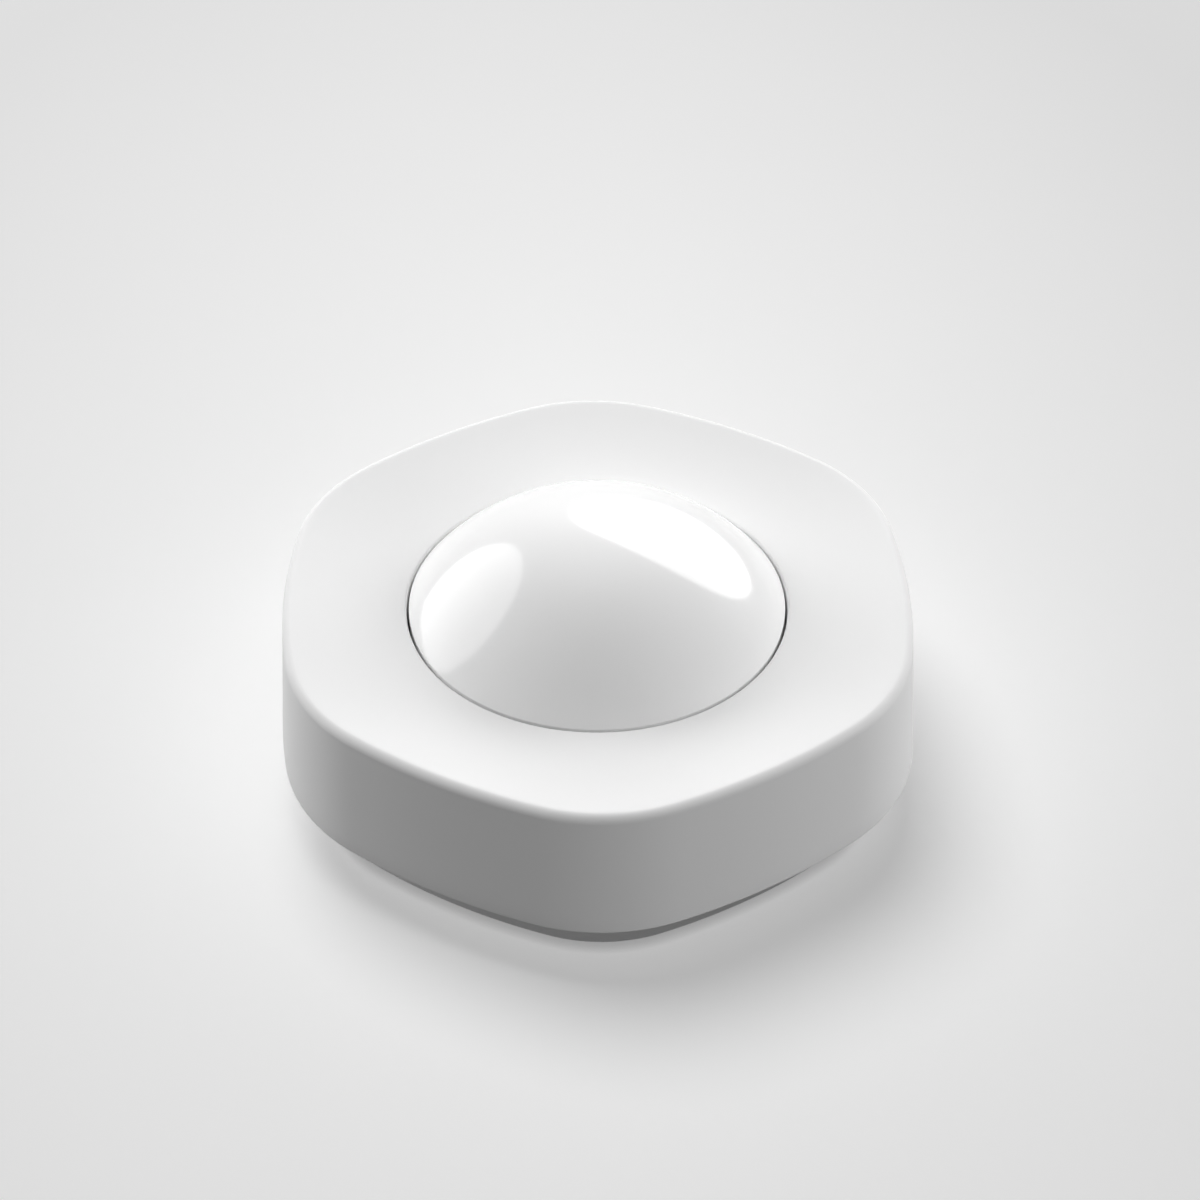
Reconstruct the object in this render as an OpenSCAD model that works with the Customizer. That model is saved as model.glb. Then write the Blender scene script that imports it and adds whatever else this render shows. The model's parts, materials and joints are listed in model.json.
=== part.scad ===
// Wireless water leak sensor: a six-cornered puck with a domed press button, standing on an inset base.
// Millimetres, +Z up. The origin is on the floor, under the middle. A corner points to -Y, the front.

/* [Outline] */
// Half of the width across two opposite sides, at the rim
side_reach = 32; // [29:0.5:38]
// Radius of each bulged side
side_r = 66.5; // [60:0.5:80]
// Radius of each of the six corners
corner_r = 18.7; // [16:0.1:21]

/* [Top cover] */
// Height of the cover from its lower edge to the rim
cover_h = 14.6; // [14.2:0.1:18]
// How far the wall leans out at the lower edge
wall_flare = 1; // [0:0.1:1.5]
// Thickness of the side wall at the rim
wall_t = 2.3; // [2:0.1:2.6]
// Thickness of the top
top_t = 2; // [1.6:0.1:2.4]
// Depth of the dished top at the button, below the rim
dish_depth = 1.75; // [1.2:0.05:2]
// How fast the dish steepens towards the rim
dish_power = 1.6; // [1.2:0.1:2.4]
// Rounding of the rim
rim_fillet = 1.5; // [0.8:0.1:1.8]
// Rounding of the cover's lower edge
edge_fillet = 0.5; // [0.2:0.1:0.8]
// Width of the shoulder that presses on the gasket
shoulder_w = 1.1; // [0.8:0.1:1.3]

/* [Button] */
// Width of the dished top, from the rim at a side to the button
top_w = 12.7; // [12.4:0.1:13.5]
// Height of the dome above its seam
dome_rise = 9.5; // [8:0.1:11]
// Wall of the dome and its skirt
dome_t = 1.6; // [1.3:0.1:1.8]
// Length of the skirt below the seam
skirt_h = 4; // [3.7:0.1:4.2]
// How far the retaining flange stands out from the skirt
flange_w = 1.6; // [1.4:0.1:1.7]
// Thickness of the retaining flange
flange_t = 1; // [0.8:0.1:1.1]
// Thickness of the soft ring between the flange and the collar
button_seal_t = 0.6; // [0.5:0.05:0.7]
// Travel of the button when it is pressed
button_travel = 0.5; // [0.3:0.05:0.6]
// Diameter of the stem that presses the switch
stem_d = 5; // [4:0.1:5.6]
// Wire of the return springs
spring_wire = 0.35; // [0.3:0.01:0.38]
// Outer diameter of the return springs
spring_d = 3.1; // [2.6:0.1:3.2]
// Turns of each return spring
spring_turns = 5.5; // [4:0.5:6]

/* [Base] */
// Height of the base that shows below the cover, without the feet
base_reveal = 5.6; // [5.4:0.1:7]
// How far the base is set in from the rim
base_inset = 3.05; // [2.9:0.05:3.4]
// Thickness of the floor of the base
base_t = 2; // [1.7:0.1:2.2]
// Thickness of the side wall of the base
base_wall = 1.6; // [1.3:0.1:1.8]
// Rounding of the lower edge of the base
base_fillet = 0.8; // [0.4:0.1:1]
// Thickness of the lip that closes the cover
lip_t = 1.3; // [1:0.1:1.5]
// Height of the housing gasket
gasket_t = 1.1; // [0.9:0.1:1.3]

/* [Feet, probes and screws] */
// How far the feet hold the base off the floor
foot_lift = 0.8; // [0.6:0.1:1.2]
// Diameter of each foot pad
foot_d = 6.4; // [5:0.2:6.8]
// Depth of the recess that holds each foot pad
foot_sink = 0.8; // [0.5:0.1:1]
// Gap between the floor and the heads of the water probes
probe_gap = 0.3; // [0.2:0.05:0.5]
// Head diameter of each water probe
probe_head_d = 5.2; // [4.6:0.1:5.4]
// Shank diameter of each water probe
probe_d = 2.4; // [2:0.1:2.6]
// Shank diameter of the screws that hold the base
screw_d = 2.4; // [2:0.1:2.6]
// Head diameter of the screws that hold the base
screw_head_d = 4.4; // [4:0.1:4.8]
// Shank diameter of the screws that hold the board and light frame
frame_screw_d = 1.7; // [1.5:0.1:2]

/* [Battery and its door] */
// Diameter of the coin cell
cell_d = 24.5; // [23:0.1:25]
// Thickness of the coin cell
cell_t = 5; // [4.6:0.1:5.2]
// Thickness of the door
door_t = 2; // [1.9:0.1:2.2]
// Wall of the door's plug
plug_wall = 1.6; // [1.4:0.1:1.8]
// How far the bayonet tabs stand out from the plug
tab_w = 1.3; // [1:0.1:1.5]
// Thickness of the bayonet tabs
tab_t = 1; // [0.8:0.1:1.1]
// Angle that each bayonet tab covers
tab_angle = 30; // [24:1:34]
// Turn that opens the door
door_turn = 45; // [40:1:50]
// Width of the coin slot
coin_slot_w = 1.8; // [1.6:0.1:2.4]
// Length of the coin slot
coin_slot_l = 16; // [12:0.5:20]
// Depth of the coin slot
coin_slot_h = 1.2; // [0.8:0.1:1.3]

/* [Circuit board] */
// Thickness of the circuit board
board_t = 1.2; // [1:0.1:1.4]
// Width of the push switch
switch_w = 6; // [5.6:0.1:6.2]
// Height of the push switch's body
switch_h = 3.5; // [3:0.1:3.6]
// Diameter of the push switch's plunger
plunger_d = 3.4; // [3:0.1:3.6]
// How far the plunger stands out of the switch
plunger_h = 0.8; // [0.7:0.05:0.9]
// Number of lamps
lamp_count = 6; // [3:3:6]
// Space between the sounder and the walls beside it
buzzer_space = 0.5; // [0.4:0.05:1]
// Height of the sounder
buzzer_h = 4.6; // [3.5:0.1:4.7]
// Length of the radio module
radio_l = 12; // [10:0.5:13]
// Thickness of the radio module's shield
radio_t = 2; // [1.6:0.1:2.6]
// Space between the radio module and the walls beside it
radio_space = 1.2; // [0.8:0.1:1.8]
// Diameter of the buffer capacitor
cap_d = 6.3; // [5:0.1:6.6]
// Height of the buffer capacitor
cap_h = 4.4; // [3.5:0.1:4.7]
// Length of each lamp
lamp_l = 2; // [1.6:0.1:2.4]
// Width of each lamp
lamp_w = 1.6; // [1:0.1:1.8]
// Height of each lamp
lamp_h = 0.95; // [0.8:0.05:1.2]
// Height of the flat packages on the board
chip_h = 0.9; // [0.7:0.05:1.2]
// Length of the antenna
antenna_l = 13; // [10:0.5:15]
// Height of the antenna above the board
antenna_h = 4.4; // [3.8:0.1:5]
// Thickness of the antenna
antenna_t = 0.4; // [0.3:0.05:0.5]
// Width of the antenna's strip and legs
antenna_w = 1.4; // [1:0.1:1.8]
// Width of the battery contacts
contact_w = 4; // [3:0.1:4.6]
// Thickness of the contacts' sheet
contact_t = 0.3; // [0.2:0.05:0.4]

/* [Clearances] */
// Even gap round the button, seen as the thin dark seam
seam_gap = 0.25; // [0.15:0.01:0.3]
// Gap between a piece and the hole or rim that it drops into
drop_gap = 0.2; // [0.15:0.01:0.25]
// Running gap round the button's stem
stem_gap = 0.08; // [0.05:0.01:0.1]
// Gap between faces that rest on each other through a spring or a seal
face_gap = 0.05; // [0.02:0.01:0.08]
// Gap between a screw's shank and the hole that grips it
thread_gap = 0.03; // [0.01:0.01:0.05]

/* [Hidden] */
$fn = 96;

// Steps along each side arc, each corner arc, each fillet and the dished top
side_steps = 6;
corner_steps = 8;
fillet_steps = 5;
dish_steps = 7;
under_steps = 3;

// Directions from the middle: the sides face 0, 60, 120 degrees and so on, the corners lie between them
screw_angles = [30, 150, 270];
foot_angles = [90, 210, 330];
probe_angles = [0, 120, 240];
buzzer_angle = 60;
radio_angle = 180;
cap_angle = 300;
contact_angle = 300;
lug_angles = [60, 180];

// How far a cutter runs past the face that it opens
past = 1;

// The outline's arcs are tangent: their centres follow from the three driving sizes
side_c = side_reach - side_r;
corner_b = 2 * cos(30) * -side_c;
corner_k = side_c * side_c - (side_r - corner_r) * (side_r - corner_r);
corner_c = (sqrt(corner_b * corner_b - 4 * corner_k) - corner_b) / 2;
side_half = atan2(corner_c * sin(30), corner_c * cos(30) - side_c);
corner_reach = corner_c + corner_r;

// Heights, from the floor up
base_z = foot_lift;
base_floor_z = base_z + base_t;
cover_z = base_z + base_reveal;
rim_z = cover_z + cover_h;
seam_z = rim_z - dish_depth;
lip_z = cover_z + 0.5;
lip_top_z = lip_z + lip_t;
shoulder_z = lip_top_z + gasket_t;
spigot_z = shoulder_z + 0.9;
pillar_z = lip_top_z + 0.3;

// The battery door: the plug goes round the cell, its tabs hook over a ledge in the base
cell_r = cell_d / 2;
plug_in_r = cell_r + 0.5;
plug_r = plug_in_r + plug_wall;
ledge_r = plug_r + drop_gap;
tab_r = plug_r + tab_w;
well_r = tab_r + drop_gap;
well_wall = 1.5;
notch_r = tab_r + 0.14;
groove_in_r = well_r + 0.35;
groove_w = 1.3;
groove_h = 1.1;
door_r = groove_in_r + groove_w + 0.8;
recess_r = door_r + drop_gap;
door_ring_r = recess_r + 1.3;
door_in_z = base_z + door_t;
ledge_z = door_in_z + 0.1;
ledge_t = 1.1;
tab_z = ledge_z + ledge_t + 0.15;
plug_z = tab_z + tab_t + 0.2;
notch_angle = tab_angle + 4;
stop_angle = 6;
stop_play = 0.5;
stop_root = 0.4;

// The stack over the battery
cell_z = door_in_z + 0.1;
contact_h = 1.2;
board_z = cell_z + cell_t + contact_h;
board_top_z = board_z + board_t;
holder_in_r = cell_r + 0.35;
holder_wall = 1.2;
holder_z = plug_z + 0.3;
well_top_z = board_z - 0.9;

// The button, its collar and its stem
button_r = side_reach - top_w;
hole_r = button_r + seam_gap;
dome_r = (button_r * button_r + dome_rise * dome_rise) / (2 * dome_rise);
dome_c_z = seam_z + dome_rise - dome_r;
skirt_in_r = button_r - dome_t;
flange_r = button_r + flange_w;
flange_top_z = seam_z - skirt_h;
flange_z = flange_top_z - flange_t;
collar_z = flange_top_z + button_seal_t + face_gap;
collar_wall = 1.65;
hidden_top_z = seam_z - 0.3;
plunger_z = board_top_z + switch_h + plunger_h;
plunger_low_z = board_top_z + button_travel + 1.1;
lid_step = 0.2;
stem_z = plunger_z + face_gap;
stem_wall = 1.3;
stem_rib_r = 1.4 * stem_d;
stem_rib_t = 1;
stem_rib_h = dome_t + 4;
cover_rib_t = 1;
rib_z = collar_z + 0.4;
pillar_rib_t = 1.2;

// Radii where things stand in the ring between the battery well and the base's wall
ring_space = 0.5;
board_space = 0.8;
boss_r = screw_d / 2 + 1.6;
base_in_d = base_inset + base_wall;
base_in_reach = side_reach - base_in_d;
corner_in_reach = corner_reach - base_in_d;
corner_ring_r = max((door_ring_r + corner_in_reach) / 2, flange_r + boss_r + ring_space);
side_ring_r = (door_ring_r + base_in_reach) / 2;
part_ring_r = (well_r + well_wall + base_in_reach) / 2;
part_ring_w = base_in_reach - well_r - well_wall;
buzzer_d = part_ring_w - 2 * buzzer_space;
radio_w = part_ring_w - 2 * radio_space;
board_r = base_in_reach - board_space;
post_r = frame_screw_d / 2 + 1.55;
probe_boss_r = probe_d / 2 + 1.8;
contact_ring_r = min(probe_boss_r, base_in_reach - side_ring_r) - drop_gap;

// The return springs stand in cups that drop through the board
spring_ring_r = (skirt_in_r + flange_r) / 2;
spring_r = spring_d / 2;
cup_r = spring_r + drop_gap;
cup_wall = 0.45;
cup_floor = 0.4;
spring_z = board_z + face_gap;
spring_top_z = flange_z - face_gap;

// The light frame over the board
deck_z = board_top_z + 1.5;
deck_t = 1;
deck_top_z = deck_z + deck_t;
deck_r = flange_r + 0.2;
cage_r = switch_w * sqrt(2) / 2 + 0.35;
cage_wall = 1;
cage_out_r = cage_r + cage_wall;
cage_roof_z = plunger_z + 0.6;
cage_roof_t = 2;
guide_wall = 1.1;
guide_top_z = cage_roof_z + 3.2;
lamp_space = 3.6;
funnel_z = board_top_z + 0.3;
funnel_t = 1;
funnel_r = cage_out_r + lamp_space;
lamp_ring_r = cage_out_r + lamp_space / 2;
spoke_t = 1.4;
baffle_r = skirt_in_r - 0.4;
baffle_wall = 0.9;
baffle_top_z = flange_top_z + 0.3;
stop_r = 0.9;
stop_z = flange_z - button_travel - 0.1;
frame_screw_bite = 3.5;
frame_screw_z = board_z - frame_screw_bite;
antenna_inset = 2.2;

// Housing screws and probes
screw_head_z = base_z + 0.5;
screw_seat_z = screw_head_z + 1.6;
screw_bite = 6.5;
screw_space = 0.5;
probe_head_t = 1.1;
probe_seal_t = 0.8;
probe_head_z = probe_gap;
probe_seat_z = probe_head_z + probe_head_t;
probe_boss_h = 2.2;
probe_boss_z = base_floor_z + probe_boss_h;
nut_h = 1.9;
nut_wall = 1.2;
nut_z = probe_boss_z + contact_t;
probe_end_z = nut_z + nut_h + 0.6;

// The direction at an angle
function dir(t) = [cos(t), sin(t)];

// The outline, moved inwards by d: six side arcs and six corner arcs
function outline(d) = [for (i = [0:5]) each concat(
    [for (s = [0:side_steps - 1]) let (t = side_half * (2 * s / side_steps - 1))
        side_c * dir(60 * i) + (side_r - d) * dir(60 * i + t)],
    [for (s = [0:corner_steps - 1]) let (t = side_half + (60 - 2 * side_half) * s / corner_steps)
        corner_c * dir(60 * i + 30) + (corner_r - d) * dir(60 * i + t)])];

// A ring of points at height z: the outline moved inwards by d, drawn by the share s to a circle of radius r
function ring(d, z, s = 0, r = 0) = [for (p = outline(d))
    let (q = (1 - s) * p + s * r * p / norm(p)) [q[0], q[1], z]];

// A quarter round from the angle a to b: the offsets and heights of a fillet of radius f about [d, z]
function quarter(d, z, f, a, b) = [for (s = [0:fillet_steps]) let (t = a + (b - a) * s / fillet_steps)
    [d - f * cos(t), z + f * sin(t)]];

// Height of the dished top at the share s of the way from the rim to the button
function dish(s) = seam_z + dish_depth * pow(1 - s, dish_power);

// How far the outer wall leans out at height z, as an offset
function lean(z) = -wall_flare * (rim_z - z) / cover_h;

// A solid whose skin goes through the rings: capped at both ends, or closed on itself like a tyre
module skin(rings, closed = false) {
    n = len(rings[0]);
    m = len(rings);
    last = closed ? m - 1 : m - 2;
    sides = [for (j = [0:last], i = [0:n - 1], half = [0:1])
        let (here = j * n, next = ((j + 1) % m) * n, k = (i + 1) % n)
        half == 0 ? [here + i, next + i, next + k] : [here + i, next + k, here + k]];
    low = [for (i = [0:n - 1]) i];
    high = [for (i = [n - 1:-1:0]) (m - 1) * n + i];
    polyhedron(points = [for (r = rings) each r], faces = closed ? sides : concat(sides, [low, high]));
}

// A plate of the outline's shape between two heights
module plate(d, z0, z1) {
    translate([0, 0, z0]) linear_extrude(z1 - z0) polygon(outline(d));
}

// A band of the outline's shape, between two offsets and two heights
module band(d0, d1, z0, z1) {
    translate([0, 0, z0]) linear_extrude(z1 - z0) difference() {
        polygon(outline(d0));
        polygon(outline(d1));
    }
}

// A disc and a tube between two heights
module disc(r, z0, z1) {
    translate([0, 0, z0]) cylinder(r = r, h = z1 - z0);
}

module tube(r0, r1, z0, z1) {
    translate([0, 0, z0]) linear_extrude(z1 - z0) difference() {
        circle(r0);
        circle(r1);
    }
}

// A part of a tube over an angle, from the angle t on
module sector(r0, r1, z0, z1, t, angle) {
    rotate([0, 0, t]) rotate_extrude(angle = angle)
        polygon([[r1, z0], [r0, z0], [r0, z1], [r1, z1]]);
}

// A block between two heights, centred on the axis
module block(l, w, z0, z1) {
    translate([-l / 2, -w / 2, z0]) cube([l, w, z1 - z0]);
}

// A web along X, between two distances from the axis and two heights
module web(x0, x1, t, z0, z1) {
    translate([x0, -t / 2, z0]) cube([x1 - x0, t, z1 - z0]);
}

// Copies of a piece at the given angles, at a distance from the middle
module around(angles, r) {
    for (t = angles) rotate([0, 0, t]) translate([r, 0, 0]) children();
}

// The cover's shell as one closed skin: outer wall, rim, dished top, its underside and the inner wall
module cover_shell() {
    low_d = lean(cover_z);
    in_d = wall_t - wall_flare;
    top_d = rim_fillet + lean(rim_z - rim_fillet);
    under_z = rim_z - top_t - rim_fillet;
    low_round = quarter(low_d + edge_fillet, cover_z + edge_fillet, edge_fillet, -90, 0);
    rim_round = quarter(top_d, rim_z - rim_fillet, rim_fillet, 0, 90);
    lower = [for (p = low_round) ring(p[0], p[1])];
    rim = [for (p = rim_round) ring(p[0], p[1])];
    top = [for (j = [1:dish_steps]) let (s = j / dish_steps) ring(top_d, dish(s), s, hole_r - past)];
    under = [for (j = [under_steps:-1:1]) let (s = j / under_steps)
        ring(wall_t + 1, dish(s) - top_t, s, hole_r - past)];
    inner = [ring(wall_t, under_z), ring(in_d + shoulder_w, shoulder_z),
        ring(in_d, shoulder_z), ring(in_d, cover_z)];
    skin(concat(lower, rim, top, under, inner), closed = true);
}

module top_cover() {
    color([0.93, 0.93, 0.93]) difference() {
        union() {
            cover_shell();
            disc(hole_r + collar_wall, collar_z, hidden_top_z);
            around(screw_angles, corner_ring_r) disc(boss_r, pillar_z, hidden_top_z);
            around(screw_angles, 0)
                web(corner_ring_r, corner_reach - wall_t / 2, pillar_rib_t, pillar_z + 2, hidden_top_z);
            around([0:60:300], 0)
                web(hole_r + collar_wall / 2, side_reach - wall_t / 2, cover_rib_t, rib_z, hidden_top_z);
        }
        disc(hole_r, collar_z - past, rim_z + past);
        around(screw_angles, corner_ring_r)
            disc(screw_d / 2 + thread_gap, pillar_z - past, pillar_z + screw_bite + screw_space);
    }
}

// The button: a spherical cap and its skirt are one ball cut by one cylinder, hollowed by a smaller pair
module dome_button() {
    dome_top_z = seam_z + dome_rise;
    color([0.97, 0.97, 0.97]) difference() {
        union() {
            difference() {
                intersection() {
                    translate([0, 0, dome_c_z]) sphere(dome_r);
                    disc(button_r, flange_z, dome_top_z + past);
                }
                intersection() {
                    translate([0, 0, dome_c_z]) sphere(dome_r - dome_t);
                    disc(skirt_in_r, flange_z - past, dome_top_z + past);
                }
            }
            tube(flange_r, skirt_in_r + dome_t / 2, flange_z, flange_top_z);
            disc(stem_d / 2, stem_z, dome_top_z - dome_t / 2);
            intersection() {
                translate([0, 0, dome_c_z]) sphere(dome_r - dome_t / 2);
                around([0:60:120], 0)
                    block(2 * stem_rib_r, stem_rib_t, dome_top_z - stem_rib_h, dome_top_z);
            }
        }
        disc(stem_d / 2 - stem_wall, stem_z + stem_wall, dome_top_z - dome_t - stem_wall);
    }
}

module button_seal() {
    color([0.35, 0.35, 0.36])
        tube(flange_r - 0.1, button_r + 0.1, flange_top_z + face_gap / 2, flange_top_z + button_seal_t);
}

// A round wire wound into a compression spring with closed ends
function coil_rise(u, turns) = let (dead = 0.75) min(max((u - dead) / (turns - 2 * dead), 0), 1);

module coil_spring(r, wire_r, z0, z1, turns) {
    steps = 12;
    sides = 6;
    count = round(turns * steps);
    rise = z1 - z0 - 2 * wire_r;
    skin([for (j = [0:count])
        let (t = 360 * j / steps, z = z0 + wire_r + rise * coil_rise(j / steps, turns))
        [for (i = [0:sides - 1]) let (a = 30 + 360 * i / sides, q = r + wire_r * cos(a))
            [q * cos(t), q * sin(t), z + wire_r * sin(a)]]]);
}

module return_springs() {
    color([0.75, 0.76, 0.78]) around(probe_angles, spring_ring_r)
        coil_spring(spring_r - spring_wire / 2, spring_wire / 2, spring_z, spring_top_z, spring_turns);
}

// One white moulding: the stem's guide, the switch cage, the funnel for the lamps' light and the deck
module light_frame() {
    color([0.9, 0.9, 0.88]) difference() {
        union() {
            rotate_extrude() polygon([
                [funnel_r, funnel_z], [funnel_r + funnel_t, funnel_z], [baffle_r - funnel_t, deck_z],
                [deck_r, deck_z], [deck_r, deck_top_z], [baffle_r, deck_top_z], [baffle_r, baffle_top_z],
                [baffle_r - baffle_wall, baffle_top_z], [baffle_r - baffle_wall, deck_top_z + deck_t / 2]]);
            disc(cage_out_r, board_top_z, cage_roof_z + cage_roof_t);
            disc(stem_d / 2 + stem_gap + guide_wall, cage_roof_z, guide_top_z);
            around(probe_angles, 0)
                web(cage_out_r - funnel_t / 2, funnel_r + funnel_t / 2, spoke_t, funnel_z, funnel_z + funnel_t);
            around(foot_angles, corner_ring_r) disc(post_r, board_top_z, deck_top_z);
            around(foot_angles, 0) web(deck_r - deck_t, corner_ring_r, 2 * post_r, deck_z, deck_top_z);
            around(probe_angles, spring_ring_r) disc(cup_r + cup_wall, board_z - cup_floor, deck_top_z);
            around(foot_angles, spring_ring_r) disc(stop_r, deck_z + deck_t / 2, stop_z);
        }
        disc(cage_r, board_top_z - past, cage_roof_z);
        disc(stem_d / 2 + stem_gap, board_top_z, guide_top_z + past);
        around(foot_angles, corner_ring_r)
            disc(frame_screw_d / 2 + drop_gap / 2, board_top_z - past, deck_top_z + past);
        around(probe_angles, spring_ring_r) disc(cup_r, board_z, deck_top_z + past);
    }
}

module frame_screws() {
    head_h = 0.65 * frame_screw_d;
    slot_w = 0.24 * frame_screw_d;
    slot_l = 1.1 * frame_screw_d;
    color([0.6, 0.6, 0.62]) around(foot_angles, corner_ring_r) difference() {
        union() {
            disc(frame_screw_d / 2, frame_screw_z, deck_top_z);
            disc(frame_screw_d, deck_top_z, deck_top_z + head_h);
        }
        around([0, 90], 0) block(slot_l, slot_w, deck_top_z + head_h / 2, deck_top_z + head_h + past);
    }
}

module main_board() {
    color([0.1, 0.35, 0.2]) difference() {
        disc(board_r, board_z, board_top_z);
        around(screw_angles, corner_ring_r)
            disc(boss_r + 3 * drop_gap, board_z - past, board_top_z + past);
        around(foot_angles, corner_ring_r)
            disc(frame_screw_d / 2 + drop_gap / 2, board_z - past, board_top_z + past);
        around(probe_angles, spring_ring_r)
            disc(cup_r + cup_wall + drop_gap, board_z - past, board_top_z + past);
    }
}

// Flat packages on top of the board, under the deck: the angle, depth and width of each
module board_chips() {
    chip_ring_r = (baffle_r - funnel_t + deck_r) / 2;
    chips = [[60, 3.6, 5], [180, 2.6, 4], [300, 2.8, 2.8]];
    color([0.12, 0.12, 0.13]) for (chip = chips)
        around([chip[0]], chip_ring_r) block(chip[1], chip[2], board_top_z, board_top_z + chip_h);
}

module status_lamps() {
    lamp_angles = [for (i = [0:lamp_count - 1]) (i + 0.5) * 360 / lamp_count];
    case_h = 0.75 * lamp_h;
    color([0.98, 0.95, 0.8]) around(lamp_angles, lamp_ring_r)
        union() {
            block(lamp_w, lamp_l, board_top_z, board_top_z + case_h);
            disc(0.375 * lamp_w, board_top_z + case_h / 2, board_top_z + lamp_h);
        }
}

module switch_body() {
    lid_h = 0.3;
    lid_w = switch_w - 2 * lid_step;
    color([0.15, 0.15, 0.16]) difference() {
        union() {
            block(switch_w, switch_w, board_top_z, board_top_z + switch_h - lid_h);
            block(lid_w, lid_w, board_top_z + switch_h / 2, board_top_z + switch_h);
        }
        disc(plunger_d / 2 + stem_gap, plunger_low_z - button_travel - 0.1, board_top_z + switch_h + past);
    }
}

module switch_plunger() {
    color([0.85, 0.84, 0.8]) disc(plunger_d / 2, plunger_low_z, plunger_z);
}

module buzzer() {
    port_r = 0.1 * buzzer_d;
    port_h = 0.25 * buzzer_h;
    color([0.1, 0.1, 0.1]) around([buzzer_angle], part_ring_r) difference() {
        disc(buzzer_d / 2, board_z - buzzer_h, board_z);
        disc(port_r, board_z - buzzer_h - past, board_z - buzzer_h + port_h);
    }
}

// The radio: a shield can on a small board that runs on past it for its aerial
module radio_module() {
    small_board_t = 0.3 * radio_t;
    can_step = 0.5;
    can_l = 0.8 * radio_l;
    color([0.78, 0.78, 0.76]) around([radio_angle], part_ring_r) union() {
        block(radio_w, radio_l, board_z - small_board_t, board_z);
        translate([can_step - radio_w / 2, can_step - radio_l / 2, board_z - radio_t])
            cube([radio_w - 2 * can_step, can_l, radio_t - small_board_t / 2]);
    }
}

module buffer_capacitor() {
    foot_h = 0.7;
    color([0.75, 0.75, 0.77]) around([cap_angle], part_ring_r) union() {
        block(cap_d, cap_d, board_z - foot_h, board_z);
        disc(cap_d / 2, board_z - cap_h, board_z - foot_h / 2);
    }
}

// A stamped strip that stands on two legs at the edge of the board
module antenna() {
    half = antenna_l / 2;
    leg_y = half / 6;
    low_z = board_top_z + antenna_h / 2;
    top_z = board_top_z + antenna_h;
    color([0.8, 0.65, 0.3]) rotate([0, 0, radio_angle]) translate([board_r - antenna_inset, 0, 0])
        rotate([90, 0, 90]) linear_extrude(antenna_t) polygon([
            [-half, board_top_z], [-half + antenna_w, board_top_z], [-half + antenna_w, low_z],
            [leg_y, low_z], [leg_y, board_top_z], [leg_y + antenna_w, board_top_z],
            [leg_y + antenna_w, low_z], [half, low_z], [half, top_z], [-half, top_z]]);
}

// The ring that guides the cell, with a slot for the side contact and lugs that key it to the board
module battery_holder() {
    outer_r = holder_in_r + holder_wall;
    slot_w = contact_w + 2 * drop_gap;
    lug_w = 2 * holder_wall;
    color([0.2, 0.2, 0.21]) translate([0, 0, holder_z]) linear_extrude(board_z - holder_z) difference() {
        union() {
            circle(outer_r);
            for (t = lug_angles) rotate(t)
                translate([outer_r - holder_wall / 2, -lug_w / 2]) square([holder_wall, lug_w]);
        }
        circle(holder_in_r);
        rotate(contact_angle) translate([holder_in_r / 2, -slot_w / 2]) square([holder_in_r, slot_w]);
    }
}

// The cell: a rounded can with a crimped shoulder round its raised cap
module coin_cell() {
    can_round = 0.1 * cell_t;
    crimp_z = cell_z + 0.88 * cell_t;
    color([0.8, 0.8, 0.8]) rotate_extrude() polygon([
        [0, cell_z], [cell_r - can_round, cell_z], [cell_r, cell_z + can_round], [cell_r, crimp_z],
        [cell_r - 2 * can_round, crimp_z + 0.04 * cell_t], [cell_r - 3 * can_round, cell_z + cell_t],
        [0, cell_z + cell_t]]);
}

// A leaf that touches the rim of the cell and bends out under the board
module positive_contact() {
    in_r = cell_r + face_gap;
    out_r = holder_in_r + holder_wall + contact_t;
    low_z = holder_z + 3 * contact_t;
    bend_z = board_z - contact_t;
    color([0.8, 0.8, 0.76]) rotate([0, 0, contact_angle]) translate([0, contact_w / 2, 0])
        rotate([90, 0, 0]) linear_extrude(contact_w) polygon([
            [in_r, low_z], [in_r + contact_t, low_z], [in_r + contact_t, bend_z], [out_r, bend_z],
            [out_r, board_z], [in_r, board_z]]);
}

// A bent leaf between the middle of the cell and the board
module negative_contact() {
    touch_z = cell_z + cell_t + face_gap;
    reach = 1.25 * contact_w;
    bend = contact_w / 2;
    skew = contact_t * 2 / 3;
    color([0.8, 0.8, 0.76]) translate([0, contact_w / 2, 0])
        rotate([90, 0, 0]) linear_extrude(contact_w) polygon([
            [-reach, board_z], [-reach, board_z - contact_t], [-bend, board_z - contact_t], [bend, touch_z],
            [reach, touch_z], [reach, touch_z + contact_t], [bend + skew, touch_z + contact_t],
            [skew - bend, board_z]]);
}

// A silicone band between the lip of the base and the shoulder of the cover
module housing_gasket() {
    color([0.4, 0.4, 0.42])
        band(wall_t - wall_flare + drop_gap, base_inset - face_gap, lip_top_z, shoulder_z);
}

// The base: a rounded tray with a lip that closes the cover, the door's bayonet seat and the inner pillars
module base_cover() {
    shut = tab_angle / 2 + stop_play;
    open = -door_turn - notch_angle / 2 - stop_play - stop_angle;
    stop_z = ledge_z + ledge_t - stop_root;
    color([0.86, 0.86, 0.86]) {
        base_body();
        for (t = probe_angles, a = [shut, open])
            sector(well_r + stop_root, ledge_r + stop_root, stop_z, tab_z + tab_t, t + a, stop_angle);
    }
}

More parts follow.
